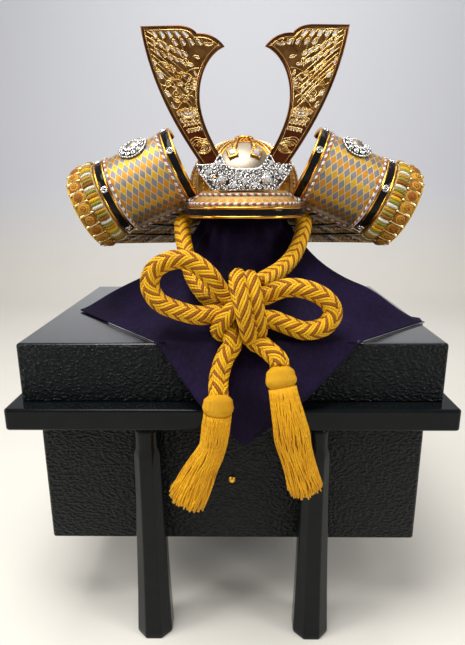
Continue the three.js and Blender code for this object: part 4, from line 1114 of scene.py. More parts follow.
def build_tassel(side, sizes):
    stations = np.array(TASSELS[side], float)
    line = curve_through(stations[:, :3], 1.2)
    marks = run_lengths(stations[:, :3])
    along = run_lengths(line)
    wide = np.interp(along / along[-1], marks / marks[-1], stations[:, 3])
    head_end = marks[3] / marks[-1] * along[-1]
    tangents, normals, cross_sides = carried_axes(line, up=(1, 0, 0))
    skin = Skin()
    head = along <= head_end + 1
    ridge = 1 + 0.02 * np.cos(along * 2 * math.pi / 1.1)
    collar = 1 - 0.13 * np.exp(-((along - head_end + 1.5) / 1.6) ** 2)
    ring = circle(40, 1.0, 0.86)
    ripple = 1 + 0.02 * np.cos(np.arange(40) * math.pi)
    size = wide * ridge * collar
    rows = (line[:, None] + (ring[None, :, 0] * ripple * size[:, None])[..., None] * normals[:, None]
            + (ring[None, :, 1] * ripple * size[:, None])[..., None] * cross_sides[:, None])
    skin.grid(rows[head], wrap=True, slot=0, caps=True)
    core = (along > head_end - 2) & (along < along[-1] - 3)
    inner = (line[:, None] + (ring[None, :, 0] * 0.86 * wide[:, None])[..., None] * normals[:, None]
             + (ring[None, :, 1] * 0.86 * wide[:, None])[..., None] * cross_sides[:, None])
    skin.grid(inner[core][::3], wrap=True, slot=1, caps=True)

    draw = np.random.default_rng(11 if side == "left" else 12)
    start = np.searchsorted(along, head_end - 2)
    keep = np.arange(start, len(along), 5)
    section = circle(4, 0.62)
    for k in range(sizes.tassel_strands):
        turn = 2 * math.pi * (k + draw.uniform(-0.4, 0.4)) / sizes.tassel_strands * 5
        depth = 1.0 if k % 5 else draw.uniform(0.35, 0.85)
        sway = draw.normal(0, 0.05, 3)
        share = (along[keep] - along[keep[0]]) / (along[-1] - along[keep[0]])
        angle = turn + sway[0] * 4 * share + 0.12 * np.sin(share * 9 + k)
        reach = depth * (0.95 + sway[1] * share + 0.03 * np.sin(share * 14 + k * 1.7)) * wide[keep]
        end = np.clip(1 + draw.normal(0, 0.012), 0.97, 1.03)
        strand = (line[keep] + (reach * np.cos(angle))[:, None] * normals[keep]
                  + (reach * 0.86 * np.sin(angle))[:, None] * cross_sides[keep])
        strand[-1] = strand[-2] + (strand[-1] - strand[-2]) * (1 + (end - 1) * 20)
        sweep(skin, strand, section, slot=0)
    piece = skin.mesh_object(f"tassel_{side}_silk", use("tassel_silk", "silk_gold"), outward=False)
    dress(piece, "gold_cord", f"tassel_{side}")
    return piece


# Draped cloth: corners and folds by direction in degrees from the helmet's axis

CLOTH_CORNERS = [(91, 208), (184.5, 180), (269.6, 222), (341, 190)]
CLOTH_FOLDS = [
    (184.5, 0.1, 16), (341, 0.12, 14), (212, -0.05, 10), (232, 0.05, 8), (258, 0.04, 7), (279, 0.05, 8),
    (300, -0.04, 9), (318, 0.05, 9), (20, 0.06, 12), (60, -0.04, 12), (91, 0.06, 12), (135, 0.07, 14)]
CLOTH = dict(wall=1.6, neck_radius=41.0, neck_height=100.0, roll=5.0, flare=1.5, rest=0.7, edge=3.0,
             past_ledge=4.0, above_ledge=16.0)


def hem_reach(direction):
    """Distance to the straight hem between two corners of the cloth."""
    for (a_at, a_reach), (b_at, b_reach) in zip(CLOTH_CORNERS, CLOTH_CORNERS[1:] + CLOTH_CORNERS[:1]):
        span, into = (b_at - a_at) % 360, (direction - a_at) % 360
        if into > span:
            continue
        a = a_reach * np.array([math.cos(math.radians(a_at)), math.sin(math.radians(a_at))])
        b = b_reach * np.array([math.cos(math.radians(b_at)), math.sin(math.radians(b_at))])
        dx, dy = math.cos(math.radians(direction)), math.sin(math.radians(direction))
        return (a[0] * (b[1] - a[1]) - a[1] * (b[0] - a[0])) / (dx * (b[1] - a[1]) - dy * (b[0] - a[0]))
    return 0.0


def lid_reach(direction, lid_low, lid_high):
    """Distance to the lid's edge, and whether that edge is an end of the lid."""
    dx, dy = math.cos(math.radians(direction)), math.sin(math.radians(direction))
    end = (lid_high[0] if dx > 0 else -lid_low[0]) / max(1e-6, abs(dx))
    side = (lid_high[1] if dy > 0 else -lid_low[1]) / max(1e-6, abs(dy))
    return min(end, side), end < side


def tent_height(direction, distance, foot):
    share = min(1.0, max(0.0, (foot - distance) / (foot - CLOTH["neck_radius"])))
    fold = sum(lift * math.exp(-(((direction - at + 180) % 360 - 180) / width) ** 2)
               for at, lift, width in CLOTH_FOLDS)
    return share ** CLOTH["flare"] * CLOTH["neck_height"] + math.sin(math.pi * share) * CLOTH["neck_height"] * fold


def hang_out(past, overhang, drop):
    """Step out and height of the cloth past the lid's edge, rolled over it and leaning out to the ledge."""
    quarter = CLOTH["roll"] * math.pi / 2
    angle = min(past, quarter) / CLOTH["roll"]
    down = max(0.0, past - quarter)
    lean = min(1.0, down / (drop - CLOTH["above_ledge"]))
    settled = CLOTH["wall"] + CLOTH["rest"]
    return (settled - CLOTH["roll"] + CLOTH["roll"] * math.sin(angle) + overhang * lean ** 1.1,
            settled - CLOTH["roll"] + CLOTH["roll"] * math.cos(angle) - down)


def cloth_point(direction, distance, hem, lid_low, lid_high, overhang, drop):
    edge, over_end = lid_reach(direction, lid_low, lid_high)
    dx, dy = math.cos(math.radians(direction)), math.sin(math.radians(direction))
    settled = CLOTH["wall"] + CLOTH["rest"]
    sag = 1 - 0.24 * math.sin(math.pi * min(1.0, max(0.0, (distance - CLOTH["neck_radius"]) / 110.0)))
    roll_start = edge - (CLOTH["roll"] - settled) / abs(dx if over_end else dy)
    foot = min(hem, roll_start - 1)
    if distance <= roll_start:
        return np.array([distance * dx, distance * dy, settled + sag * tent_height(direction, distance, foot)])
    past = distance - roll_start
    out, up = hang_out(past, overhang, drop)
    if over_end:
        return np.array([dx * edge + math.copysign(out, dx), (roll_start + past) * dy, up])
    return np.array([(roll_start + past) * dx, dy * edge + math.copysign(out, dy), up])


def build_cloth(sizes):
    lid_low, lid_high = box_mm("lid")
    ledge_low, ledge_high = box_mm("ledge")
    overhang = (ledge_high[1] - lid_high[1]) + CLOTH["past_ledge"]
    drop = -lid_low[2]
    top = box_mm("bowl")[1][2] - 6.0
    directions = np.arange(0, 360, 1.0)
    crown = [(0.12, 1), (0.25, 0.984), (0.4, 0.965), (0.55, 0.935), (0.7, 0.88), (0.8, 0.8), (0.87, 0.66),
             (0.92, 0.52), (0.95, 0.36), (0.97, 0.2), (0.99, 0.08)]
    rows = []
    for out, up in crown:
        ripple = 0.8 * np.cos(np.radians(directions) * 19) * (1 - up)
        r = CLOTH["neck_radius"] * out + ripple
        z = mixed(CLOTH["neck_height"], top, up)
        rows.append(np.stack([r * np.cos(np.radians(directions)), r * np.sin(np.radians(directions)),
                              np.full(len(directions), z)], -1))
    shares = np.linspace(0, 1, 62)
    hems = [hem_reach(d) for d in directions]
    for share in shares:
        row = []
        for direction, hem in zip(directions, hems):
            neck, bend = CLOTH["neck_radius"], lid_reach(direction, lid_low, lid_high)[0]
            marks = [neck, min(bend - 7, mixed(neck, hem, 0.6)), min(bend + 9, mixed(neck, hem, 0.85)), hem]
            distance = float(np.interp(share, [0, 0.55, 0.75, 1], marks))
            point = cloth_point(direction, distance, hem, lid_low, lid_high, overhang, drop)
            row.append(point + crumple(direction, distance, hem, share))
        rows.append(np.array(row))
    outside = np.array(rows)
    for _ in range(6):
        outside[38:66] = (outside[37:65] + 2 * outside[38:66] + outside[39:67]) / 4
    down = surface_normals(outside)
    wall = sizes.thickness / MM
    inside = outside - down * wall
    shell = np.concatenate([outside, inside[::-1]])
    uv_u, uv_v = np.meshgrid(np.arange(len(directions) + 1), np.arange(len(shell)))
    skin = Skin()
    skin.grid(shell, np.stack([uv_u * 0.002, uv_v * 0.003], -1), wrap=True, slot=0, caps=True)
    hem_line = outside[-1] - down[-1] * wall / 2
    sweep(skin, np.vstack([hem_line, hem_line[:1]]), circle(6, 0.7), slot=0, closed=True)
    for first, last in ((206, 240), (302, 341)):
        sweep(skin, hem_line[first:last] - down[-1, first:last] * wall * 0.6, circle(6, 0.55), slot=2)
    piece = skin.mesh_object("draped_cloth", use("crepe_purple", "lining", "hem_white"))
    slots = np.empty(len(piece.data.polygons), np.int32)
    piece.data.polygons.foreach_get("material_index", slots)
    slots[len(outside) * len(directions):(len(shell) - 1) * len(directions)] = 1
    slots[(len(shell) - 70) * len(directions):(len(shell) - 36) * len(directions)] = 0
    piece.data.polygons.foreach_set("material_index", slots)
    dress(piece, "purple_crepe", "drape_cloth")
    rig.sheet(piece, flat=(sizes.width, sizes.depth), held="draped", rests_on=["lid", "helmet_stand"])


def crumple(direction, distance, hem, share):
    """Soft gathers under the helmet and crinkles lower down."""
    turn = math.radians(direction)
    gather = 2.3 * math.cos(turn * 17 + 1.2 * math.sin(turn * 3)) * max(0, 1 - share * 1.4)
    place = (distance * math.cos(turn) * 0.02, distance * math.sin(turn) * 0.02, 0.3)
    soft = noise.noise(place) * 7.0 * math.sin(math.pi * min(1, share * 1.05)) ** 2
    low = max(0.0, min(1.0, share * 2 - 0.9))
    pleat = 6.0 * low * (math.exp(-((direction - 260) / 3.6) ** 2) + math.exp(-((direction - 280) / 4.2) ** 2))
    return np.array([gather * math.cos(turn), gather * math.sin(turn) - pleat, max(0.0, soft) * 0.8])


def surface_normals(rows):
    """Outward normals of a wrapped grid of points."""
    down = np.gradient(rows, axis=0)
    wrapped = np.concatenate([rows[:, -1:], rows, rows[:, :1]], axis=1)
    across = (wrapped[:, 2:] - wrapped[:, :-2]) / 2
    normals = unit(np.cross(down, across))
    return normals * np.where(normals[20:21, :, 2:3].mean() > 0, 1.0, -1.0)


# Bowl of the helmet, in millimetres

GAP = 0.4
BOWL = dict(radius=56.0, wall=2.0, rim=115.4, spring=132.0, dome=46.0, proud=0.9)
FRONT_PLATE = dict(wide=44.0, high=33.0, centre=155.0, wall=0.9)


def bowl_profile(share, grow=0.0):
    """Radius and height of the bowl's outside from its rim, 0, to its crown, 1."""
    straight = 0.2
    if share < straight:
        return BOWL["radius"] + grow, BOWL["rim"] + (BOWL["spring"] - BOWL["rim"]) * share / straight
    angle = (share - straight) / (1 - straight) * math.pi / 2
    return (BOWL["radius"] + grow) * math.cos(angle), BOWL["spring"] + (BOWL["dome"] + grow) * math.sin(angle)


def on_bowl(x, z, lift):
    """Point over the front of the bowl at a side-step and height, and the way outward there."""
    high = (z - BOWL["spring"]) / BOWL["dome"]
    r = BOWL["radius"] * math.sqrt(max(0.0, 1 - high * high))
    surface = np.array([x, -math.sqrt(max(0.0, r * r - x * x)), z])
    stretch = (BOWL["radius"] / BOWL["dome"]) ** 2
    outward = unit(np.array([surface[0], surface[1], (z - BOWL["spring"]) * stretch]))
    return surface + outward * lift, outward


def boss(skin, centre, outward, profile, sides=20, slot=0, petals=0, depth=0.0):
    """Turned button from [radius, height] rows on an axis, its rim waved into petals if asked."""
    outward = unit(np.array(outward, float))
    across = unit(np.cross(outward, [0.13, 0.21, 1.0]))
    up = np.cross(outward, across)
    turn = np.linspace(0, 2 * math.pi, sides, endpoint=False)
    wave = 1 + depth * np.cos(turn * petals) if petals else np.ones(sides)
    rows = [centre + height * outward + (radius * wave * np.cos(turn))[:, None] * across
            + (radius * wave * np.sin(turn))[:, None] * up for radius, height in profile]
    skin.grid(np.array(rows), wrap=True, slot=slot, caps=True)


def turned(profile, sides=72):
    """Rows of a ring turned round the helmet's axis from a closed outline of radius and height."""
    turn = np.linspace(0, 2 * math.pi, sides, endpoint=False)
    return np.array([[[r * math.cos(t), r * math.sin(t), z] for t in turn] for r, z in profile])


def build_bowl(sizes):
    shares = np.linspace(0, 0.955, 26)
    outside = [bowl_profile(s) for s in shares]
    inside = [bowl_profile(s, -BOWL["wall"]) for s in shares[::-1]]
    skin = Skin()
    skin.grid(turned(outside + inside), wrap=True, loop=True)
    shell = skin.mesh_object("bowl_plates", use("gold"))
    ribs, studs = [], []
    for k in range(sizes.rib_count):
        for lines, turn in ((ribs, k), (studs, k + 0.5)):
            angle = 2 * math.pi * turn / sizes.rib_count
            line = [[r * math.cos(angle), r * math.sin(angle), z]
                    for r, z in (bowl_profile(s, 0.3) for s in np.linspace(0.02, 0.9, 26))]
            lines.append(np.array(line))
    rib = grow("bowl_ribs", "wire", ribs, "pale_gold", Radius=sizes.rib_thickness / 2)
    stud = grow("bowl_studs", "beads", studs, "gold", Spacing=sizes.stud_spacing, Radius=sizes.stud_size / 2)
    dress(joined("bowl_shell", [shell, rib, stud]), "gold_bowl", "bowl")

    low, high = box_mm("waist_band")
    outer = (high[0] - low[0]) / 2
    profile = [(outer - 3, low[2]), (outer - 0.4, low[2]), (outer, low[2] + 0.5), (outer - 0.7, low[2] + 1.6),
               (outer - 0.7, high[2] - 1.6), (outer, high[2] - 0.5), (outer - 0.4, high[2]), (outer - 3, high[2])]
    skin = Skin()
    skin.grid(turned(profile), wrap=True, loop=True)
    dress(skin.mesh_object("waist_band_gold", use("gold"), sharp=50), "gold_bowl", "waist_band")

    low, high = box_mm("crown_ring")
    z0, z1 = low[2], high[2]
    skin = Skin()
    turn = np.linspace(0, 2 * math.pi, 96, endpoint=False)
    rows = []
    for radius, up, wave in ((5.4, 0, 0), (8.8, 0, 0.5), (9.8, 0.35, 0.5), (9.6, 0.6, 0.45), (8.6, 0.75, 0.3),
                             (8.2, 0.8, 0), (7.8, 1.0, 0), (6.2, 1.0, 0), (5.4, 0.7, 0)):
        r = radius + wave * np.cos(turn * 16) - wave
        rows.append(np.stack([r * np.cos(turn), r * np.sin(turn), np.full(96, mixed(z0, z1, up))], -1))
    skin.grid(np.array(rows), wrap=True, loop=True)
    dress(skin.mesh_object("crown_ring_gold", use("gold")), "gold_bowl", "crown_ring")
    build_front_plate()
    for side, name in ((-1, "left"), (1, "right")):
        build_crown_bar(side, name)


def build_front_plate():
    lift = BOWL["proud"] + GAP
    turn = np.linspace(0, 2 * math.pi, 64, endpoint=False)

    def ring(share, extra):
        crown = 0.9 * (1 - share ** 2)
        return np.array([on_bowl(share * FRONT_PLATE["wide"] / 2 * math.cos(t),
                                 FRONT_PLATE["centre"] + share * FRONT_PLATE["high"] / 2 * math.sin(t),
                                 lift + extra + (crown if extra else 0))[0] for t in turn])

    rows = [ring(s, 0) for s in (0.06, 0.3, 0.6, 0.85, 1)]
    rows += [ring(s, FRONT_PLATE["wall"]) for s in (1, 0.93, 0.8, 0.65, 0.5, 0.35, 0.2, 0.06)]
    skin = Skin()
    skin.grid(np.array(rows), wrap=True, caps=True)
    plate = skin.mesh_object("front_plate_satin", use("champagne"))
    edge = ring(0.985, FRONT_PLATE["wall"] + 0.15)
    border = grow("front_plate_edge", "wire", [np.vstack([edge, edge[:1]])], "gold", Radius=0.0007)
    dress(joined("front_plate_dressed", [plate, border]), "silver_plate", "front_plate")


def build_crown_bar(side, name):
    """Gold arm from the crown ring down to its jewel box."""
    lift = BOWL["proud"] + GAP + FRONT_PLATE["wall"] + 2 * GAP
    spread = 11.6
    places = [(0.42, 0.905), (0.5, 0.885), (0.6, 0.83), (0.7, 0.76), (0.78, 0.7), (0.86, 0.64)]
    line = curve_through([on_bowl(side * out * spread, BOWL["spring"] + up * BOWL["dome"], lift + 1.1)[0]
                          for out, up in places], 0.6)
    skin = Skin()
    share = np.linspace(0, 1, len(line))
    sweep(skin, line, circle(12, 1.7, 0.65), slot=0, up=(1, 0, 0), scale=1.0 + 0.25 * np.cos(share * 9))
    for at in (0.18, 0.8):
        point = line[int(at * (len(line) - 1))]
        ball(skin, point, 2.3, slot=0, rows=9, sides=14, squash=0.9)
    centre, outward = on_bowl(side * 0.92 * spread, BOWL["spring"] + 0.585 * BOWL["dome"], lift - 1.5)
    across = unit(np.cross(outward, [side * 0.35, 0, 1.0]))
    up = np.cross(outward, across)

    def square(half, height):
        corners = [(-1, -1), (0, -1.02), (1, -1), (1.02, 0), (1, 1), (0, 1.02), (-1, 1), (-1.02, 0)]
        return np.array([centre + outward * height + half * (a * across + b * up) for a, b in corners])

    rows = [square(h, z) for h, z in ((3.9, 0), (4.5, 0.4), (4.5, 2.2), (4.9, 2.5), (4.9, 3.2), (4.3, 3.6),
                                      (3.4, 3.6), (3.2, 2.9))]
    skin.grid(np.array(rows), wrap=True, caps=True, slot=0)
    rows = [square(h, z) for h, z in ((3.1, 2.8), (3.0, 3.9), (1.6, 5.0))]
    skin.grid(np.array(rows), wrap=True, caps=True, slot=1)
    for a, b in ((-1, -1), (1, -1), (1, 1), (-1, 1)):
        ball(skin, centre + outward * 3.5 + 4.3 * (a * across + b * up), 1.0, slot=2, rows=6, sides=8)
    piece = skin.mesh_object(f"crown_bar_{name}_gold", use("gold", "crystal", "pale_gold"), sharp=35)
    dress(piece, "gold_bowl", f"crown_bar_{name}")


# Visor

VISOR = dict(sides=58.0, front=90.0, squareness=2.8, root_angle=44.0, edge_angle=56.0, top=127.4, edge=112.6,
             wall=1.6)
VISOR_RIM = dict(high=10.6, thick=3.0, piping=1.3, lift=0.9)


def visor_edge(angle, grow=0.0):
    s = abs(math.sin(angle)) / (VISOR["sides"] + grow)
    c = abs(math.cos(angle)) / (VISOR["front"] + grow)
    r = (s ** VISOR["squareness"] + c ** VISOR["squareness"]) ** (-1 / VISOR["squareness"])
    return r * math.sin(angle), -r * math.cos(angle)


def on_visor(t, d, lift=0.0):
    """Point on the visor: t across it from 0 to 1, d from its root to its front edge."""
    seat = BOWL["radius"] + BOWL["proud"] + GAP
    inner = math.radians(mixed(-VISOR["root_angle"], VISOR["root_angle"], t))
    x, y = visor_edge(math.radians(mixed(-VISOR["edge_angle"], VISOR["edge_angle"], t)))
    z = mixed(VISOR["top"], VISOR["edge"], d ** 1.3)
    return np.array([mixed(seat * math.sin(inner), x, d), mixed(-seat * math.cos(inner), y, d), z + lift])


def build_visor(sizes):
    depths = np.linspace(0, 1, 14)
    rows, uv = [], []
    for t in np.linspace(0, 1, 73):
        top = [on_visor(t, d) for d in depths]
        bottom = [on_visor(t, d, -VISOR["wall"]) for d in depths[::-1]]
        rows.append(top + bottom)
        around = list(depths) + list(depths[::-1]) + [depths[0]]
        uv.append([[(t - 0.5) * 0.125, d * 0.034] for d in around])
    skin = Skin()
    skin.grid(np.array(rows), np.array(uv), wrap=True, slot=0, caps=True)
    lift = sizes.edging_thickness / MM * 0.45
    front = [on_visor(t, 0.9, lift) for t in np.linspace(0.035, 0.965, 70)]
    back = [on_visor(t, 0.42, lift) for t in np.linspace(0.94, 0.06, 60)]
    loop = curve_through(front[::4] + back[::4], 1.0, closed=True)
    sweep(skin, loop, circle(10, sizes.edging_thickness / MM / 2, 0.8), slot=1, closed=True, up=(0, 0, 1))
    piece = skin.mesh_object("visor_brocade", use("brocade_orange", "edging"), sharp=55)
    dress(piece, "brocade", "visor")

    top = VISOR["edge"] + VISOR_RIM["lift"]
    high, thick, piping = VISOR_RIM["high"], VISOR_RIM["thick"], VISOR_RIM["piping"]
    span = math.radians(VISOR["edge_angle"])
    turns = np.linspace(-span, span, 97)
    skin = Skin()
    section = [(GAP, 0.3), (1.6, 0.0), (2.1, -high * 0.3), (2.25, -high * 0.5), (2.1, -high * 0.7), (1.6, -high),
               (GAP, -high)]
    rows = [[[*visor_edge(a, out), top + up] for out, up in section] for a in turns]
    skin.grid(np.array(rows), wrap=True, slot=0, caps=True)
    for up in (-piping, -high + piping):
        line = np.array([[*visor_edge(a, thick - 1.4), top + up] for a in turns])
        sweep(skin, line, circle(12, 1.45), slot=1)
    fillet = np.array([[*visor_edge(a, thick - 1.3), top - high * 0.36] for a in turns])
    sweep(skin, fillet, circle(6, 0.4), slot=1)
    piece = skin.mesh_object("visor_rim_lacquer", use("black_enamel", "gold"), sharp=50)
    dress(piece, "rim_black_gold", "visor_rim")


# Side plates, rolled back: places by length along the barrel's axis and angle up from the front

WING = dict(radius=36.5, wall=2.0, slope=24.0, out=69.5, up=148.4, back=-20.0, long=60.0, low=-90.0, high=122.0)
WING_RIM = dict(wide=11.2, proud=1.6, piping=2.6, inner_low=-60.0)
WING_LACING = dict(long=28.0, wall=4.0, flare=1.5, swell=2.0, trim_from=40.0, trim=0.5)


def on_wing(side, along, angle, lift):
    slope = math.radians(WING["slope"])
    along, turn, lift = np.broadcast_arrays(*(np.asarray(v, float) for v in (along, np.radians(angle), lift)))
    r = WING["radius"] + lift
    out = WING["out"] + along * math.cos(slope) + r * np.sin(turn) * math.sin(slope)
    up = WING["up"] - along * math.sin(slope) + r * np.sin(turn) * math.cos(slope)
    return np.stack([side * out, WING["back"] - r * np.cos(turn), up], -1)


def barrel_band(skin, side, section, low, high, count, slot):
    """Closed section of [along, lift] points swept round the barrel, UVs in metres."""
    angles = np.linspace(low, high, count)
    rows, uv = [], []
    for angle in angles:
        points = np.array(section(angle) if callable(section) else section, float)
        rows.append(on_wing(side, points[:, 0], angle, points[:, 1]))
        looped = np.vstack([points, points[:1]])
        uv.append(np.column_stack([looped[:, 0] * MM, np.full(len(looped), math.radians(angle) * WING["radius"] * MM)]))
    skin.grid(np.array(rows), np.array(uv), wrap=True, slot=slot, caps=True)


def build_wing(side, name, sizes):
    low, high, long = WING["low"], WING["high"], WING["long"]
    along = np.linspace(0, long, 16)
    section = [(a, 0.35 * math.sin(math.pi * a / long)) for a in along] + [(a, -WING["wall"]) for a in along[::-1]]
    skin = Skin()
    barrel_band(skin, side, section, low, high, 90, 0)
    piece = skin.mesh_object(f"wing_panel_{name}_brocade", use("brocade"), sharp=55)
    dress(piece, "brocade", f"wing_panel_{name}")

    radius = sizes.edging_thickness / MM / 2
    inset = radius + 0.5
    corners = [(inset, low + 2), (inset, high - 2), (long - inset, high - 2), (long - inset, low + 2)]
    loop = []
    for k, (a, turn) in enumerate(corners):
        b, to = corners[(k + 1) % 4]
        count = 60 if turn != to else 26
        loop += list(on_wing(side, np.linspace(a, b, count, endpoint=False), np.linspace(turn, to, count,
                                                                                        endpoint=False), radius * 0.8))
    skin = Skin()
    sweep(skin, np.vstack([loop, loop[:1]]), circle(10, radius, 0.85), slot=0, closed=True)
    piece = skin.mesh_object(f"wing_edging_{name}", use("edging"))
    dress(piece, "brocade")

    starts = {"inner": (-GAP - WING_RIM["wide"], WING_RIM["inner_low"]), "outer": (long + GAP, low)}
    for rim, (start, rim_low) in starts.items():
        end = start + WING_RIM["wide"]
        half = WING_RIM["piping"] / 2
        skin = Skin()
        band = [(start + 1.6, 0.2), (mixed(start, end, 0.35), 0.75), (mixed(start, end, 0.5), 0.85),
                (mixed(start, end, 0.65), 0.75), (end - 1.6, 0.2), (end - 1.6, -WING["wall"]),
                (start + 1.6, -WING["wall"])]
        barrel_band(skin, side, band, rim_low, high, 80, 0)
        for at in (start + half, end - half):
            line = on_wing(side, at, np.linspace(rim_low, high, 100), 0.1)
            sweep(skin, line, circle(12, half * 1.05), slot=1)
        piece = skin.mesh_object(f"wing_rim_{rim}_{name}_lacquer", use("black_enamel", "gold"), sharp=50)
        dress(piece, "rim_black_gold", f"wing_rim_{rim}_{name}")
        for i, angle in enumerate({"inner": (72, 22), "outer": (72, 12, -62)}[rim]):
            middle = start + WING_RIM["wide"] / 2
            centre = on_wing(side, middle, angle, 0.6)
            outward = on_wing(side, middle, angle, 1.6) - centre
            skin = Skin()
            boss(skin, centre, outward, [(3.0, 0), (3.15, 0.5), (3.0, 1.2), (2.5, 1.7), (2.0, 1.6), (1.7, 0.9)], 28)
            boss(skin, centre, outward, [(1.75, 0.4), (1.7, 0.95), (0.3, 0.95)], 20, slot=1)
            boss(skin, centre, outward, [(0.8, 0.9), (0.75, 1.5), (0.4, 1.9)], 12)
            for k in range(12):
                turn = 2 * math.pi * k / 12
                a, b = unit(np.cross(outward, [0, 0.3, 1])), None
                b = np.cross(unit(outward), a)
                ball(skin, centre + outward * 0.7 + 3.1 * (math.cos(turn) * a + math.sin(turn) * b), 0.55, rows=4,
                     sides=6)
            piece = skin.mesh_object(f"rivet_{rim}_{name}_{i + 1}_silver", use("silver", "silver_deep"), sharp=60)
            dress(piece, "crest_silver", f"rivet_{rim}_{name}_{i + 1}")
    build_wing_crest(side, name)
    build_wing_lacing(side, name)


def lacing_end(angle):
    start = WING["long"] + GAP + WING_RIM["wide"] + GAP
    trim = max(0.0, (angle - WING_LACING["trim_from"]) / (WING["high"] - WING_LACING["trim_from"]))
    return start, start + WING_LACING["long"] * (1 - WING_LACING["trim"] * trim ** 1.5)


def build_wing_lacing(side, name):
    """Outer strip of the wing: silk cells beside the rim, and round knots between bars along its edge."""
    wall, flare = WING_LACING["wall"], WING_LACING["flare"]

    def section(angle):
        start, end = lacing_end(angle)
        middle = mixed(start, end, 0.5)
        return [(start, -2), (start, wall - 3.2), (middle, flare + 0.6), (end - 1, flare - 0.6), (end, flare - 1.6),
                (end - 1, flare - wall), (middle, -2)]

    skin = Skin()
    barrel_band(skin, side, section, WING["low"], WING["high"], 70, 0)
    count = 13
    for k in range(count):
        angle = mixed(WING["low"] + 6, WING["high"] - 6, k / (count - 1))
        start, end = lacing_end(angle)
        room = end - start
        half_turn = math.degrees(4.6 / WING["radius"])
        for j in range(3):
            turn = angle + (j - 1) * half_turn * 0.72
            line = on_wing(side, np.linspace(start + 1, start + room * 0.42, 7), turn,
                           flare + 1.0 + 1.2 * np.sin(np.linspace(0, math.pi, 7)))
            sweep(skin, line, circle(8, 1.75, 0.8), slot=(3, 2, 1, 4, 2, 3, 1, 2, 6)[(3 * k + j) % 9], scale=[0.7, 0.95, 1, 1, 1, 0.95, 0.7])
        centre = on_wing(side, start + room * 0.7, angle, flare + 1.2)
        outward = unit(on_wing(side, start + room * 0.7, angle, flare + 2.2) - centre)
        a = unit(on_wing(side, start + room * 0.7 + 1, angle, flare + 1.2) - centre)
        b = np.cross(outward, a)
        size = min(4.9, room * 0.24)
        for ring_size, lift, yarn in ((1.0, 0.0, 1.35), (0.66, 1.1, 1.2), (0.28, 1.9, 1.1)):
            turn = np.linspace(0, 2 * math.pi, 19)
            line = np.array([centre + outward * (lift + 0.25 * math.cos(t * 6)) + size * ring_size
                             * (math.cos(t) * a + math.sin(t) * b) for t in turn])
            sweep(skin, line, circle(7, yarn), slot=(3, 4, 3)[(k + int(lift)) % 3], closed=True)
        ball(skin, centre + outward * 0.9, size * 0.75, slot=4, rows=7, sides=12, axis=outward, squash=0.6)
        if k < count - 1:
            turn = angle + (WING["high"] - WING["low"] - 12) / (count - 1) / 2
            s, e = lacing_end(turn)
            line = on_wing(side, np.linspace(s + (e - s) * 0.42, e - 0.5, 8), turn,
                           flare + 0.9 + 0.9 * np.sin(np.linspace(0, math.pi, 8)))
            sweep(skin, line, circle(8, 1.5), slot=5, scale=[0.7, 1, 1, 1, 1, 1, 1, 0.8])
    edge = np.array([on_wing(side, lacing_end(t)[1] - 0.4, t, flare - 1.2) for t in np.linspace(-88, 120, 110)])
    sweep(skin, edge, circle(8, 1.1), slot=6)
    piece = skin.mesh_object(f"wing_lacing_{name}_silk", use("strip_backing", "silk_white", "silk_green", "silk_gold",
                                                             "silk_brown", "pale_gold", "silk_yellow"))
    dress(piece, "silk_lacing", f"wing_lacing_{name}")


def scroll(centre, radius, start, turns=1.4, way=1, points=22):
    """Flat spiral of [side, height] points that winds in to its centre."""
    share = np.linspace(0, 1, points)
    turn = start + way * share * turns * 2 * math.pi
    r = radius * (1 - 0.82 * share)
    return np.stack([centre[0] + r * np.cos(turn), centre[1] + r * np.sin(turn)], -1)


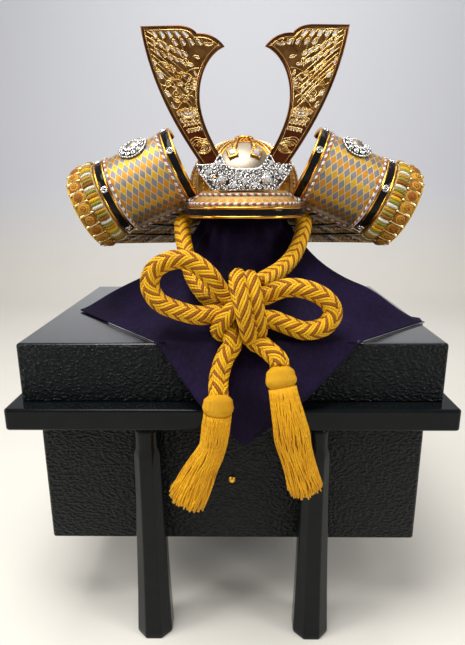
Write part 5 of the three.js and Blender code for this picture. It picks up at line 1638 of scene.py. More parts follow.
def build_wing_crest(side, name):
    """Openwork silver rosette with a pale dome."""
    at, middle = WING["long"] * 0.45, 62.0

    def place(flat, lift):
        flat = np.asarray(flat, float)
        return on_wing(side, at + flat[..., 0], middle + np.degrees(flat[..., 1] / WING["radius"]), lift)

    turn = np.linspace(0, 2 * math.pi, 96, endpoint=False)
    skin = Skin()
    rows = []
    for r, lift in ((2, 0.8), (14.2, 0.8), (14.9, 1.4), (14.4, 2.0), (9, 2.5), (5.5, 3.0)):
        flat = np.stack([r * np.cos(turn) * (1 + 0.035 * np.cos(12 * turn)),
                         r * np.sin(turn) * (1 + 0.035 * np.cos(12 * turn))], -1)
        rows.append(place(flat, lift))
    skin.grid(np.array(rows), wrap=True, slot=0, caps=True)
    rows = [place(np.stack([r * np.cos(turn[::3]), r * np.sin(turn[::3])], -1), lift)
            for r, lift in ((6.4, 2.2), (6.3, 3.8), (5.3, 5.2), (3.6, 6.0), (1.4, 6.3))]
    skin.grid(np.array(rows), wrap=True, slot=1, caps=True)
    backing = skin.mesh_object(f"wing_crest_{name}_base", use("silver_deep", "champagne"))
    lines = []
    for k in range(12):
        angle = 2 * math.pi * k / 12
        for reach, size, way, lift in ((11.4, 2.7, 1, 3.6), (7.6, 2.1, -1, 4.6)):
            spiral = scroll((0, 0), size, angle + math.pi, 1.5, way)
            shift = np.array([reach * math.cos(angle + (0 if way > 0 else 0.26)),
                              reach * math.sin(angle + (0 if way > 0 else 0.26))])
            lines.append(place(spiral + shift, lift + 0.4 * np.sin(np.linspace(0, math.pi, len(spiral)))))
    for r, lift in ((14.2, 2.3), (5.9, 4.6)):
        ring = np.stack([r * np.cos(turn), r * np.sin(turn)], -1)
        lines.append(place(np.vstack([ring, ring[:1]]), lift))
    wires = grow(f"wing_crest_{name}_scrolls", "wire", lines, "silver", Radius=0.00062)
    outer = np.stack([14.4 * np.cos(turn), 14.4 * np.sin(turn)], -1)
    beads = grow(f"wing_crest_{name}_beads", "beads", [place(np.vstack([outer, outer[:1]]), 2.2)], "silver",
                 Spacing=0.0026, Radius=0.0010)
    dress(joined(f"wing_crest_{name}_silver", [backing, wires, beads]), "crest_silver", f"wing_crest_{name}")


# Neck guard

GUARD = dict(count=4, first=58.5, wide=93.5, lap=3.0, dip=2.6, wall=2.0, back_tilt=0.09)


def guard_height(r):
    slope = math.radians(WING["slope"])
    foot_out = WING["out"] - WING["radius"] * math.sin(slope)
    foot_up = WING["up"] - WING["radius"] * math.cos(slope)
    return foot_up - (r - foot_out) * math.tan(slope) + WING["wall"]


def build_guard(sizes):
    pitch = GUARD["wide"] / GUARD["count"]
    front = WING["back"] + 1.5 * GAP
    for k in range(GUARD["count"]):
        inner = GUARD["first"] + k * pitch - (GUARD["lap"] if k else 0)
        outer = GUARD["first"] + (k + 1) * pitch

        def place(r, share, lift):
            dip = GUARD["dip"] if k else 0
            first = math.asin(front / r)
            turn = mixed(first, math.pi - first, share)
            y = r * math.sin(turn)
            z = guard_height(r) - dip * (outer - r) / (outer - inner) + lift
            return np.array([r * math.cos(turn), y, z - GUARD["back_tilt"] * max(0.0, y)])

        skin = Skin()
        radii = np.linspace(inner, outer, 5)
        rows = [[place(r, s, -0.5) for r in radii] + [place(r, s, -1.5) for r in radii[::-1]]
                for s in np.linspace(0, 1, 90)]
        skin.grid(np.array(rows), wrap=True, slot=0, caps=True)
        count = int(math.pi * outer * 1.08 / (sizes.lace_width / MM))
        tones = (1, 2, 2, 1, 3, 2, 4, 2)
        for j in range(count):
            share = (j + 0.5) / count
            line = np.array([place(r, share, -1.0) for r in np.linspace(inner + 0.8, outer - 1.6, 6)])
            half = sizes.lace_width / MM * 0.5 * inner / outer
            scale = np.linspace(half, sizes.lace_width / MM * 0.5, 6)
            sweep(skin, line, circle(8, 1.0, 0.42)[:, ::-1], slot=tones[(j + 3 * k) % len(tones)], up=(0, 0, 1),
                  scale=scale * np.array([0.8, 1, 1, 1, 1, 0.85]))
        for r, lift, size, slot in ((outer - 0.9, -1.0, 1.2, 5), (inner + 0.5, -0.9, 0.8, 5)):
            line = np.array([place(r, s, lift) for s in np.linspace(0.001, 0.999, 120)])
            sweep(skin, line, circle(8, size), slot=slot)
        piece = skin.mesh_object(f"neck_lame_{k + 1}_laces", use("strip_backing", "silk_gold", "silk_brown",
                                                                 "silk_white", "crepe_purple", "black_enamel"),
                                 outward=False)
        line = np.array([place(outer - 0.9, s, 0.3) for s in np.linspace(0.002, 0.998, 160)])
        under = [np.array([place(mixed(inner, outer, at), s, -1.9) for s in np.linspace(0.004, 0.996, 120)])
                 for at in (0.35, 0.7)]
        beads = joined(f"neck_lame_{k + 1}_beads", [
            grow(f"neck_lame_{k + 1}_rim", "beads", [line], "gold", Spacing=0.0042, Radius=0.0010),
            grow(f"neck_lame_{k + 1}_knots", "beads", under[:1], "silk_white", Spacing=0.0078, Radius=0.0012),
            grow(f"neck_lame_{k + 1}_ties", "beads", under[1:], "silk_yellow", Spacing=0.0066, Radius=0.0014)])
        dress(joined(f"neck_lame_{k + 1}_laced", [piece, beads]), "silk_lacing", f"neck_lame_{k + 1}")


# Crest base and horns, as plates cut from outlines of side-step and height

CREST = dict(half=44.7, foot=28.8, seat=127.9, notch=18.6, tip=23.1, peak=31.6, front=62.4, thick=3.0, bend=400.0)
HORN = dict(wide=67.8, tall=131.0, foot_out=24.5, foot=145.0, plate=1.6, border=2.2, front=55.4, slope=0.15,
            flat_at=30.0, lean=0.05)


def bezier(*points, count=12):
    """Points of a curve with two or three handles, its end left out."""
    t = np.linspace(0, 1, count, endpoint=False)[:, None]
    p = [np.array(q, float) for q in points]
    if len(p) == 3:
        return (1 - t) ** 2 * p[0] + 2 * t * (1 - t) * p[1] + t ** 2 * p[2]
    return (1 - t) ** 3 * p[0] + 3 * t * (1 - t) ** 2 * p[1] + 3 * t ** 2 * (1 - t) * p[2] + t ** 3 * p[3]


def crest_outline():
    half, foot, seat = CREST["half"], CREST["foot"], CREST["seat"]
    neck, tip, peak = seat + CREST["notch"], seat + CREST["tip"], seat + CREST["peak"]
    near_tip, near_peak = (half * 0.62, mixed(tip, peak, 0.06)), (half * 0.55, mixed(tip, peak, 0.88))
    right = np.vstack([
        bezier((foot, seat), (half * 0.86, mixed(seat, tip, 0.38)), (half, tip)),
        bezier((half, tip), (half * 0.82, tip - 1.5), near_tip, count=6),
        bezier(near_tip, near_peak, (half * 0.49, peak)),
        bezier((half * 0.49, peak), (half * 0.4, neck), (half * 0.2, neck)),
        [(half * 0.2, neck)]])
    return np.vstack([right, right[::-1] * [-1, 1]])


def leaf(x, z, long, wide, turn, count=8):
    """Pointed drop of the given length and width, turned in degrees."""
    t = np.linspace(0, 2 * math.pi, count, endpoint=False)
    u, v = 0.5 * np.cos(t), 0.5 * np.sin(t) * (1 - 0.45 * np.cos(t))
    a = math.radians(turn)
    return np.stack([x + u * long * math.cos(a) - v * wide * math.sin(a),
                     z + u * long * math.sin(a) + v * wide * math.cos(a)], -1)


def cut_plate(name, outline, holes, thick, place, finish, slice_every=4.0):
    """Plate with holes and rounded edges, filled from outlines and set in place by a function."""
    curve = bpy.data.curves.new(name, "CURVE")
    curve.dimensions = "2D"
    curve.fill_mode = "BOTH"
    curve.extrude = thick / 2 - 0.2
    curve.bevel_depth = 0.2
    curve.bevel_resolution = 1
    for ring in [outline, *holes]:
        spline = curve.splines.new("POLY")
        spline.points.add(len(ring) - 1)
        spline.points.foreach_set("co", np.column_stack([ring, np.zeros(len(ring)), np.ones(len(ring))])
                                  .reshape(-1).astype(np.float32))
        spline.use_cyclic_u = True
    source = bpy.data.objects.new(name, curve)
    bpy.context.scene.collection.objects.link(source)
    bpy.context.view_layer.update()
    mesh = bpy.data.meshes.new_from_object(source.evaluated_get(bpy.context.evaluated_depsgraph_get()))
    bpy.data.objects.remove(source)
    work = bmesh.new()
    work.from_mesh(mesh)
    bmesh.ops.remove_doubles(work, verts=work.verts, dist=0.001)
    low, high = outline.min(axis=0), outline.max(axis=0)
    for x in np.arange(low[0] + slice_every, high[0], slice_every):
        bmesh.ops.bisect_plane(work, geom=work.verts[:] + work.edges[:] + work.faces[:], plane_co=(x, 0, 0),
                               plane_no=(1, 0, 0))
    bmesh.ops.recalc_face_normals(work, faces=work.faces)
    work.to_mesh(mesh)
    work.free()
    flat = np.empty(len(mesh.vertices) * 3, np.float32)
    mesh.vertices.foreach_get("co", flat)
    flat = flat.reshape(-1, 3)
    solid = np.array([place(x, z, thick / 2 + out) for x, z, out in flat])
    mesh.vertices.foreach_set("co", in_frame(solid).reshape(-1).astype(np.float32))
    mesh.materials.clear()
    mesh.materials.append(FINISHES[finish])
    mesh.update()
    turn_outward(mesh)
    mesh.polygons.foreach_set("use_smooth", np.ones(len(mesh.polygons), bool))
    mesh.set_sharp_from_angle(angle=math.radians(40))
    mesh.name = name
    piece = bpy.data.objects.new(name, mesh)
    bpy.context.scene.collection.objects.link(piece)
    return piece


def on_crest(x, z, lift):
    """Point before the back of the crest base; lift runs forward from its back face."""
    back = -CREST["front"] + CREST["thick"]
    return np.array([x, back - lift + x * x / CREST["bend"], z])


def inside(outline, x, z, margin):
    """Whether a point lies inside an outline, with a margin to its edge."""
    a, b = outline, np.roll(outline, -1, axis=0)
    crosses = (a[:, 1] > z) != (b[:, 1] > z)
    at = a[:, 0] + (z - a[:, 1]) * (b[:, 0] - a[:, 0]) / np.where(crosses, b[:, 1] - a[:, 1], 1)
    if np.count_nonzero(crosses & (at > x)) % 2 == 0:
        return False
    t = np.clip(((x - a[:, 0]) * (b - a)[:, 0] + (z - a[:, 1]) * (b - a)[:, 1])
                / np.maximum(((b - a) ** 2).sum(axis=1), 1e-9), 0, 1)
    near = a + t[:, None] * (b - a)
    return float(np.hypot(near[:, 0] - x, near[:, 1] - z).min()) > margin


def build_crest(sizes):
    outline = crest_outline()
    holes, lines, studs = [], [], []
    pitch = sizes.scroll_spacing / MM
    flowers = [(-21.1, CREST["seat"] + 10.1), (21.1, CREST["seat"] + 10.1)]
    row = 0
    for z in np.arange(CREST["seat"] + 2.6, CREST["seat"] + CREST["peak"], pitch * 0.8):
        row += 1
        for column in range(-9, 10):
            x = (column + (0.5 if row % 2 else 0)) * pitch
            if not inside(outline, x, z, 1.7) or min(math.hypot(x - a, z - b) for a, b in flowers) < 5.6:
                continue
            way = 1 if (column + row) % 2 else -1
            start = 2.4 * column + 1.7 * row
            size = pitch * (0.60 + 0.08 * math.sin(column * 1.9 + row))
            spiral = scroll((x, z), size, start, 1.35, way)
            rise = 3.5 + 0.9 * np.sin(np.linspace(0, math.pi, len(spiral))) + 0.35 * (row % 2)
            lines.append(np.array([on_crest(px, pz, lift) for (px, pz), lift in zip(spiral, rise)]))
            studs.append((x, z))
            hole_x, hole_z = x + pitch * 0.5, z + pitch * 0.1
            if inside(outline, hole_x, hole_z, 2.4) and min(math.hypot(hole_x - a, hole_z - b)
                                                           for a, b in flowers) > 5.6:
                holes.append(leaf(hole_x, hole_z, pitch * 0.42, pitch * 0.34, 40 * column + 70 * row))
    plate = cut_plate("crest_base_plate", outline, holes, CREST["thick"], on_crest, "silver_deep")
    edge = np.array([on_crest(x, z, 3.2) for x, z in np.vstack([outline, outline[:1]])])
    wires = grow("crest_base_scrolls", "wire", lines, "silver", Radius=sizes.scroll_thickness / 2)
    border = grow("crest_base_border", "wire", [edge], "silver", Radius=0.00075)
    beads = grow("crest_base_beads", "beads", [edge], "silver", Spacing=0.0031, Radius=0.00105)
    skin = Skin()
    for x, z in studs:
        ball(skin, on_crest(x, z, 4.3), 0.95, slot=0, rows=6, sides=8)
    for k, (x, z) in enumerate([(0, 7.5), (-9.5, 5.0), (9.5, 5.0), (-33, 17), (33, 17), (-24.5, 24), (24.5, 24)]):
        centre = on_crest(x, CREST["seat"] + z, 3.6)
        boss(skin, centre, (0, -1, 0), [(2.2, 0), (2.3, 0.8), (1.5, 1.9), (0.9, 2.1)], 8, slot=1)
    gems = skin.mesh_object("crest_base_gems", use("silver", "crystal"), sharp=25)
    dress(joined("crest_base_openwork", [plate, wires, border, beads, gems]), "crest_silver", "crest_base")
    for side, name in ((-1, "left"), (1, "right")):
        x, z = flowers[(side + 1) // 2]
        skin = Skin()
        centre = on_crest(x, z, 3.5)
        outward = (side * 0.1, -1, 0.05)
        boss(skin, centre, outward, [(2, 0), (4.7, 0.4), (4.9, 1.2), (4.0, 2.0), (2.6, 1.7)], 64, 0, 8, 0.12)
        boss(skin, centre, outward, [(3.3, 1.4), (3.4, 2.2), (2.9, 2.9), (2.6, 2.4)], 48, 0, 12, 0.06)
        boss(skin, centre, outward, [(2.7, 1.8), (2.6, 2.6), (1.5, 3.7), (1.3, 3.7)], 8, 1)
        piece = skin.mesh_object(f"crest_flower_{name}_crystal", use("silver", "crystal"), sharp=30)
        dress(piece, "crest_silver", f"crest_flower_{name}")


def horn_edges():
    """Outer edge, inner edge and top of the right horn, from its foot up."""
    def at(over, up):
        return HORN["foot_out"] + over * HORN["wide"], HORN["foot"] + up * HORN["tall"]

    waist, hook, temple, brow, tip = at(0.242, 0.49), at(-0.096, 0.795), at(0.257, 0.88), at(0.524, 0.934), at(1, 0.94)
    outer = np.vstack([bezier(at(0.11, -0.04), at(0.57, 0.27), at(0.907, 0.59), tip, count=40), [tip]])
    inner = np.vstack([bezier(at(-0.11, 0.04), at(0.037, 0.15), at(0.243, 0.33), waist, count=22),
                       bezier(waist, at(0.242, 0.635), at(0.11, 0.757), hook, count=22), [hook]])
    top = np.vstack([bezier(hook, at(0.037, 0.882), temple, count=14), bezier(temple, at(0.332, 0.93), brow, count=10),
                     [brow]])
    return outer, inner, top


def along_line(line, share):
    gaps = np.linalg.norm(np.diff(line, axis=0), axis=1)
    marks = np.concatenate([[0], np.cumsum(gaps)])
    at = np.asarray(share) * marks[-1]
    return np.stack([np.interp(at, marks, line[:, 0]), np.interp(at, marks, line[:, 1])], -1)


def inset_ring(ring, inset):
    """Ring moved inwards by a distance; the ring runs anticlockwise."""
    before, after = np.roll(ring, 1, axis=0), np.roll(ring, -1, axis=0)
    a, b = unit(ring - before), unit(after - ring)
    normal = unit(np.stack([-(a + b)[:, 1], (a + b)[:, 0]], -1))
    widen = np.minimum(2.0, 1 / np.maximum(0.35, (normal * np.stack([-a[:, 1], a[:, 0]], -1)).sum(axis=1)))
    return ring + normal * (inset * widen)[:, None]


def crescent(centre, radius, start, end, wide, squash=1.0, count=11):
    """Crescent outline about a centre, between two angles in degrees, running anticlockwise."""
    turn = np.radians(np.linspace(start, end, count))
    swell = wide / 2 * np.sin(np.linspace(0.12, math.pi - 0.12, count)) ** 0.7
    spoke = np.stack([np.cos(turn), np.sin(turn) * squash], -1)
    return centre + np.vstack([(radius + swell)[:, None] * spoke, ((radius - swell)[:, None] * spoke)[::-1]])


def horn_drawing():
    """Holes and raised lines of the right horn: rays and an eye at its tips, clouds, scales and a wave at its foot."""
    outer, inner, top = horn_edges()

    def blade(up, over):
        a, b = along_line(outer, up), along_line(inner, up)
        return a + (b - a) * np.asarray(over)[..., None]

    def way(up, over, ahead=0.01):
        step = blade(up + ahead, over) - blade(up, over)
        return math.degrees(math.atan2(step[1], step[0]))

    holes, lines = [], []
    crown = np.vstack([top, outer[-1:]])
    beak, swirl = inner[-1] + [13.5, 3.9], blade(0.50, 0.62)
    for start, end in ((20, 160), (200, 340)):
        holes.append(crescent(beak, 3.7, start, end, 2.6, 0.52))
    for k in range(2):
        holes.append(leaf(*(inner[-1] + [8.0 - 0.6 * k, 1.9 + 1.6 * k]), 5.6 - 0.6 * k, 1.0, 14 + 14 * k, 12))
    for size in (2.6, 5.2, 7.8):
        holes.append(crescent(swirl, size, 188, 342, 1.75))
    for k in range(3):
        holes.append(leaf(*blade(0.645 + 0.024 * k, 0.865), 3.6, 1.4, 8 + 4 * k))
    for k in range(8):
        tilt = math.radians(40 + 3.2 * k)
        step = np.array([math.cos(tilt), math.sin(tilt)])
        long = 7.8 - 0.3 * abs(k - 3)
        edge = along_line(crown, 0.34 + 0.078 * k)
        holes.append(leaf(*(edge - step * (3.5 / math.sin(tilt) + long / 2)), long, 2.5, math.degrees(tilt), 12))
        if k < 6:
            holes.append(leaf(*(edge - step * (7.5 / math.sin(tilt) + long)), 5.6, 1.8, math.degrees(tilt), 12))
        edge = along_line(crown, 0.30 + 0.078 * k)
        spread = np.linspace(0, 1, 16)[:, None]
        bow = np.array([-step[1], step[0]]) * 1.8 * np.sin(spread * math.pi)
        lines.append(edge - step * (3.6 + (13 + 1.5 * k) * spread) + bow)
    for k in range(7):
        x, z = blade(0.925 - 0.010 * k, 0.15 + 0.09 * k)
        holes.append(leaf(x, z, 6.2, 1.7, 60 - 4 * k, 12))
    for k in range(6):
        x, z = blade(0.865 - 0.012 * k, 0.18 + 0.10 * k)
        holes.append(leaf(x, z, 5.6, 1.4, 56 - 5 * k, 12))
    for up, over, long, wide, turn in (
            (0.80, 0.10, 5.0, 1.7, 75), (0.72, 0.15, 6.4, 3.4, 50), (0.60, 0.17, 6.8, 2.7, 35),
            (0.69, 0.34, 5.6, 1.5, 150), (0.55, 0.36, 5.2, 1.7, 20), (0.84, 0.52, 5.4, 1.4, 25),
            (0.80, 0.72, 5.8, 1.5, 10), (0.76, 0.44, 4.6, 1.6, 100), (0.73, 0.62, 4.6, 1.5, 40),
            (0.66, 0.54, 5.0, 1.5, 5), (0.62, 0.68, 3.6, 1.3, 60), (0.78, 0.29, 4.4, 1.3, 30),
            (0.52, 0.20, 4.4, 1.4, 60), (0.70, 0.76, 4.2, 1.3, 120), (0.58, 0.50, 4.0, 1.3, 140),
            (0.86, 0.80, 4.8, 1.2, 20), (0.64, 0.42, 3.8, 1.3, 70), (0.74, 0.86, 3.6, 1.2, 70)):
        holes.append(leaf(*blade(up, over), long, wide, turn, 12))
    for k in range(8):
        spread = np.linspace(0, 1, 26)
        start, end = 0.985 - 0.033 * k, 0.83 - 0.05 * k
        reach = 0.62 + 0.02 * k
        lines.append(blade(start + (end - start) * spread ** 1.3, 0.04 + spread * reach * (0.7 + 0.3 * spread)))
    for k in range(6):
        spread = np.linspace(0, 1, 34)
        flow = 0.78 - 0.05 * k + 0.028 * np.sin(spread * 8 + 1.9 * k) - 0.03 * spread
        lines.append(blade(flow, 0.10 + spread * 0.80))
    for k, (up, over) in enumerate(((0.77, 0.38), (0.71, 0.52), (0.66, 0.27), (0.60, 0.40), (0.82, 0.64),
                                    (0.56, 0.62), (0.65, 0.74))):
        lines.append(scroll(blade(up, over), 3.3, 1.3 * k, 1.5, 1 if k % 2 else -1, 24))
    for size in (8.4, 9.4):
        turn = np.radians(np.linspace(180, 350, 22))
        lines.append(swirl + size * np.stack([np.cos(turn), np.sin(turn)], -1))
    for row in range(6):
        for column in range(5):
            up, over = 0.465 - 0.026 * row, 0.26 + 0.13 * column + 0.05 * (row % 2)
            x, z = blade(up, over)
            holes.append(leaf(x, z, 2.5, 1.15, way(up, over) + 20))
            turn = np.linspace(math.pi * 0.05, math.pi * 0.95, 9)
            lines.append(np.array([x, z]) + [0, 0.3] + 1.75 * np.stack([np.cos(turn), np.sin(turn)], -1))
    for k in range(3):
        spread = np.linspace(0, 1, 30)
        lines.append(blade(0.265 - 0.018 * k + 0.018 * np.sin(spread * math.pi * 1.5), 0.16 + 0.7 * spread))
    eye = blade(0.195, 0.5)
    for size in (6.4, 5.2, 3.4):
        turn = np.linspace(0.35, math.pi * 1.75, 30)
        lines.append(eye + np.stack([size * 1.15 * np.cos(turn), size * 0.8 * np.sin(turn)], -1))
    lines.append(scroll(eye, 2.4, 0.6, 1.6, 1, 26) * [1, 1])
    ring = np.vstack([inner[:-1], top, outer[::-1]])
    return ring, holes, lines


def build_horn(side, name, sizes):
    ring, holes, lines = horn_drawing()
    area = np.sum(ring[:, 0] * np.roll(ring[:, 1], -1) - np.roll(ring[:, 0], -1) * ring[:, 1])
    if area < 0:
        ring = ring[::-1]

    def place(x, z, lift):
        bend = HORN["slope"] * (x - HORN["flat_at"]) - HORN["lean"] * max(0.0, z - HORN["foot"])
        return np.array([side * x, -HORN["front"] + HORN["plate"] - lift + bend, z])

    chosen, taken = [], []
    for hole in holes:
        dense = np.vstack([hole, (hole + np.roll(hole, -1, axis=0)) / 2])
        room = all(np.linalg.norm(dense[:, None] - other[None], axis=2).min() > 0.8 for other in taken)
        if room and all(inside(ring, x, z, HORN["border"] + 0.5) for x, z in hole):
            chosen.append(hole)
            taken.append(dense)
            rim = inset_ring(hole, -0.42)
            lines.append(np.vstack([rim, rim[:1]]))
    plate = cut_plate(f"horn_{name}_plate", ring, chosen, HORN["plate"], place, "horn_bronze", 5.0)
    skin = Skin()
    band = inset_ring(ring, HORN["border"] / 2)
    for lift in (HORN["plate"] + 0.05, -0.05):
        line = np.array([place(x, z, lift) for x, z in np.vstack([band, band[:1]])])
        sweep(skin, line, circle(10, 0.45, HORN["border"] / 2 / 0.45), slot=0, closed=True, up=(0, -1, 0))
    border = skin.mesh_object(f"horn_{name}_border", use("horn_border"))
    inner_line = inset_ring(ring, HORN["border"] + 1.0)
    raised = [np.array([place(x, z, HORN["plate"] + 0.1) for x, z in np.vstack([inner_line, inner_line[:1]])])]
    for line in lines:
        run = []
        for x, z in line:
            if inside(ring, x, z, HORN["border"] + 1.3):
                run.append(place(x, z, HORN["plate"] + 0.12))
                continue
            if len(run) > 2:
                raised.append(np.array(run))
            run = []
        if len(run) > 2:
            raised.append(np.array(run))
    back = [line + [0, HORN["plate"] + 0.24, 0] for line in raised]
    relief = grow(f"horn_{name}_relief", "wire", raised + back, "horn_gold", Radius=sizes.line_thickness / 2, Sides=5.0)
    dress(joined(f"horn_{name}_openwork", [plate, border, relief]), "horn_bronze", f"horn_{name}")


# Stage

def build_stage(sizes):
    """Pale floor that turns up into a backdrop, soft light and the camera."""
    floor = Finish("floor_cream")
    place = floor.object_place()
    cream = floor.blend(floor.noise(place, 3.0, 3.0), (0.80, 0.76, 0.67), (0.87, 0.83, 0.75))
    floor.finish(Base_Color=floor.blend(floor.parts(place)[2].between(0.0, 0.5), cream, (0.74, 0.75, 0.80)),
                 Roughness=0.8)
    wide, near, far, bend, tall = 4.0, -2.5, 1.3, 0.5, 3.0
    turn = np.linspace(0, math.pi / 2, 16)
    side = [(near, 0.0), *[(far + bend * math.sin(t), bend * (1 - math.cos(t))) for t in turn], (far + bend, tall)]
    mesh = bpy.data.meshes.new("floor")
    mesh.from_pydata([(x, y, z) for y, z in side for x in (-wide, wide)], [],
                     [(2 * k, 2 * k + 1, 2 * k + 3, 2 * k + 2) for k in range(len(side) - 1)])
    mesh.polygons.foreach_set("use_smooth", np.ones(len(mesh.polygons), bool))
    mesh.materials.append(floor.material)
    sweep_floor = bpy.data.objects.new("floor", mesh)
    bpy.context.scene.collection.objects.link(sweep_floor)
    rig.stage(sweep_floor)

    world = bpy.data.worlds.new("soft_room")
    world.use_nodes = True
    world.node_tree.nodes["Background"].inputs["Color"].default_value = (*sizes.room_color, 1.0)
    world.node_tree.nodes["Background"].inputs["Strength"].default_value = sizes.room_light
    bpy.context.scene.world = world
    bpy.context.scene.view_settings.view_transform = "Standard"
    for name, place, aim, size, power in (
            ("light_over", (-0.2, -0.35, 1.45), (0, 0, 0.35), 0.7, 16.0),
            ("light_left", (-1.2, -0.6, 0.9), (0, 0, 0.35), 0.5, 8.0),
            ("light_right", (1.2, -0.8, 0.8), (0, 0, 0.3), 0.45, 7.0),
            ("light_back", (0.1, 0.75, 1.9), (0, 1.6, 0.5), 1.4, 11.0)):
        lamp = bpy.data.lights.new(name, "AREA")
        lamp.shape = "SQUARE"
        lamp.size = size
        lamp.energy = power * sizes.lamp_light
        fixture = bpy.data.objects.new(name, lamp)
        fixture.location = place
        away = Vector(place) - Vector(aim)
        fixture.rotation_euler = away.to_track_quat("Z", "Y").to_euler()
        bpy.context.scene.collection.objects.link(fixture)

    camera = bpy.data.cameras.new("photo_view")
    camera.sensor_width = 36.0
    camera.lens = sizes.camera_lens
    camera.clip_end = 20.0
    viewer = bpy.data.objects.new("photo_view", camera)
    yaw, pitch, roll = sizes.camera_yaw, sizes.camera_pitch, sizes.camera_roll
    ahead = Vector((math.sin(yaw) * math.cos(pitch), math.cos(yaw) * math.cos(pitch), -math.sin(pitch)))
    right = Vector((math.cos(yaw), -math.sin(yaw), 0.0))
    up = right.cross(ahead)
    across = math.cos(roll) * right + math.sin(roll) * up
    above = -math.sin(roll) * right + math.cos(roll) * up
    turned_axes = Matrix((across, above, -ahead)).transposed()
    viewer.matrix_world = Matrix.Translation(sizes.camera_place) @ turned_axes.to_4x4()
    bpy.context.scene.collection.objects.link(viewer)
    bpy.context.scene.camera = viewer


# Sizes that a user would change

def metres(name, default, description):
    return bpy.props.FloatProperty(name=name, default=default, description=description, unit="LENGTH",
                                   subtype="DISTANCE", precision=4)


def number(name, default, description):
    return bpy.props.IntProperty(name=name, default=default, description=description, min=1)


class KabutoBoxSizes(bpy.types.PropertyGroup):
    board_thickness: metres("Board", 0.008, "Thickness of the box's boards")
    corner_radius: metres("Corner radius", 0.0035, "Rounding of the box's upright corners")
    leg_top_width: metres("Leg width", 0.025, "Width of a leg at its head")
    leg_top_depth: metres("Leg depth", 0.026, "Depth of a leg at its head")


class KabutoCordSizes(bpy.types.PropertyGroup):
    diameter: metres("Cord diameter", 0.017, "Diameter of the braided cord")
    braid_pitch: metres("Braid pitch", 0.052, "Length in which a yarn winds once round the cord")
    tassel_strands: number("Tassel strands", 210, "Silk strands in each tassel")


class KabutoClothSizes(bpy.types.PropertyGroup):
    width: metres("Cloth width", 0.36, "Width of the flat cloth")
    depth: metres("Cloth depth", 0.36, "Depth of the flat cloth")
    thickness: metres("Cloth thickness", 0.0012, "Thickness of the crepe with its lining")


class KabutoHelmetSizes(bpy.types.PropertyGroup):
    rib_count: number("Ribs", 20, "Ribs round the bowl")
    rib_thickness: metres("Rib thickness", 0.0017, "Thickness of a rib")
    stud_spacing: metres("Stud spacing", 0.0042, "Distance between the studs of a plate")
    stud_size: metres("Stud size", 0.0021, "Diameter of a stud")
    edging_thickness: metres("Edging cord", 0.0026, "Thickness of the herringbone edging cord")
    lace_width: metres("Lace width", 0.0058, "Width of a silk lace of the neck guard")


class KabutoCrestSizes(bpy.types.PropertyGroup):
    scroll_spacing: metres("Scroll spacing", 0.0056, "Distance between the scrolls of the crest base")
    scroll_thickness: metres("Scroll thickness", 0.00125, "Thickness of a silver scroll")
    line_thickness: metres("Line thickness", 0.00075, "Thickness of the horns' raised lines")


class KabutoStageSizes(bpy.types.PropertyGroup):
    room_color: bpy.props.FloatVectorProperty(name="Room colour", size=3, subtype="COLOR", default=(0.93, 0.94, 0.97),
                                              description="Colour of the soft light all round")
    room_light: bpy.props.FloatProperty(name="Room light", default=0.24, description="Strength of the soft light")
    lamp_light: bpy.props.FloatProperty(name="Lamp light", default=1.0, description="Strength of the soft lamps")
    camera_lens: bpy.props.FloatProperty(name="Lens", default=27.97, description="Focal length in millimetres")
    camera_place: bpy.props.FloatVectorProperty(name="Camera place", size=3, subtype="XYZ", unit="LENGTH",
                                                default=(0.00684, -0.54655, 0.41978),
                                                description="Where the camera stands")
    camera_yaw: bpy.props.FloatProperty(name="Yaw", default=-0.0137, unit="ROTATION",
                                        description="Turn of the view to the right")
    camera_pitch: bpy.props.FloatProperty(name="Pitch", default=0.2582, unit="ROTATION",
                                          description="Tilt of the view downwards")
    camera_roll: bpy.props.FloatProperty(name="Roll", default=-0.0043, unit="ROTATION",
                                         description="Tilt of the view sideways")


# Operators

class KABUTO_OT_stage(bpy.types.Operator):
    """Set up the floor, the soft light and the camera"""
    bl_idname = "kabuto.stage"
    bl_label = "Stage"

    def execute(self, context):
        build_stage(context.scene.kabuto_stage)
        return {"FINISHED"}


class KABUTO_OT_cord(bpy.types.Operator):
    """Braid the chin cord with its bow knot and tassels"""
    bl_idname = "kabuto.cord"
    bl_label = "Chin cord"

    def execute(self, context):
        build_cord(context.scene.kabuto_cord)
        return {"FINISHED"}


class KABUTO_OT_cloth(bpy.types.Operator):
    """Drape the crepe cloth over its stand and the lid"""
    bl_idname = "kabuto.cloth"
    bl_label = "Draped cloth"

    def execute(self, context):
        build_cloth(context.scene.kabuto_cloth)
        build_stand()
        return {"FINISHED"}


class KABUTO_OT_box(bpy.types.Operator):
    """Build the lacquered box with its ledge, legs and stud"""
    bl_idname = "kabuto.box"
    bl_label = "Storage box"

    def execute(self, context):
        build_box(context.scene.kabuto_box)
        build_stud()
        return {"FINISHED"}


class KABUTO_OT_bowl(bpy.types.Operator):
    """Build the ribbed bowl, its crown ring, front plate and crown bars"""
    bl_idname = "kabuto.bowl"
    bl_label = "Bowl"

    def execute(self, context):
        build_bowl(context.scene.kabuto_helmet)
        return {"FINISHED"}


class KABUTO_OT_visor(bpy.types.Operator):
    """Build the brocaded visor and its rim"""
    bl_idname = "kabuto.visor"
    bl_label = "Visor"

    def execute(self, context):
        build_visor(context.scene.kabuto_helmet)
        return {"FINISHED"}


class KABUTO_OT_wings(bpy.types.Operator):
    """Build both rolled side plates with their rims, rosettes and laced strips"""
    bl_idname = "kabuto.wings"
    bl_label = "Side plates"

    def execute(self, context):
        for side, name in ((-1, "left"), (1, "right")):
            build_wing(side, name, context.scene.kabuto_helmet)
        return {"FINISHED"}


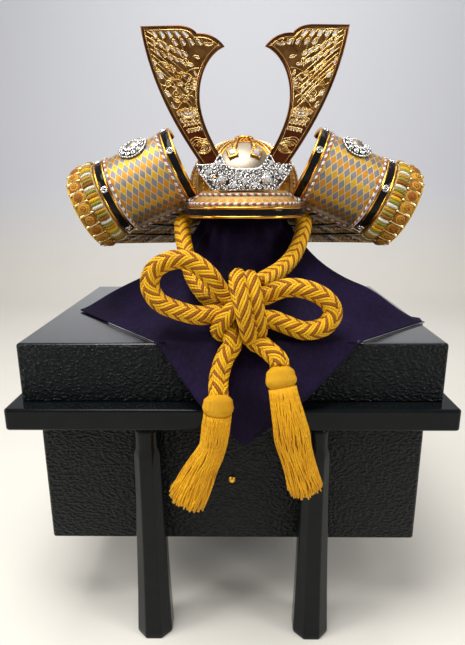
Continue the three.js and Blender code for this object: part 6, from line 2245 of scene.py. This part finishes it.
class KABUTO_OT_guard(bpy.types.Operator):
    """Build the laced rows of the neck guard"""
    bl_idname = "kabuto.guard"
    bl_label = "Neck guard"

    def execute(self, context):
        build_guard(context.scene.kabuto_helmet)
        return {"FINISHED"}


class KABUTO_OT_crest(bpy.types.Operator):
    """Build the silver crest base and both pierced horns"""
    bl_idname = "kabuto.crest"
    bl_label = "Crest and horns"

    def execute(self, context):
        build_crest(context.scene.kabuto_crest)
        for side, name in ((-1, "left"), (1, "right")):
            build_horn(side, name, context.scene.kabuto_crest)
        return {"FINISHED"}


GROUPS = {"kabuto_stage": KabutoStageSizes, "kabuto_cord": KabutoCordSizes, "kabuto_cloth": KabutoClothSizes,
          "kabuto_box": KabutoBoxSizes, "kabuto_helmet": KabutoHelmetSizes, "kabuto_crest": KabutoCrestSizes}
OPERATORS = [KABUTO_OT_stage, KABUTO_OT_cord, KABUTO_OT_cloth, KABUTO_OT_box, KABUTO_OT_bowl, KABUTO_OT_visor,
             KABUTO_OT_wings, KABUTO_OT_guard, KABUTO_OT_crest]


class KABUTO_PT_panel(bpy.types.Panel):
    """Lists the pieces of the helmet and their sizes"""
    bl_label = "Kabuto"
    bl_idname = "KABUTO_PT_panel"
    bl_space_type = "VIEW_3D"
    bl_region_type = "UI"
    bl_category = "Kabuto"

    def draw(self, context):
        for operator in OPERATORS:
            self.layout.operator(operator.bl_idname)
        for name, group in GROUPS.items():
            box = self.layout.box()
            for key in group.__annotations__:
                box.prop(getattr(context.scene, name), key)


def register():
    for name, group in GROUPS.items():
        bpy.utils.register_class(group)
        setattr(bpy.types.Scene, name, bpy.props.PointerProperty(type=group))
    for kind in [*OPERATORS, KABUTO_PT_panel]:
        bpy.utils.register_class(kind)


def unregister():
    for kind in reversed([*OPERATORS, KABUTO_PT_panel]):
        bpy.utils.unregister_class(kind)
    for name, group in reversed(GROUPS.items()):
        delattr(bpy.types.Scene, name)
        bpy.utils.unregister_class(group)


def main():
    register()
    make_finishes()
    for operator in OPERATORS:
        getattr(bpy.ops.kabuto, operator.bl_idname.split(".")[1])()
    with open("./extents.json", "w") as out:
        json.dump({"cad_box": [list(map(float, corner)) for corner in CAD_BOX],
                   "visual_box": [list(map(float, corner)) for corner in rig.bounds()]}, out)


if __name__ == "__main__":
    main()
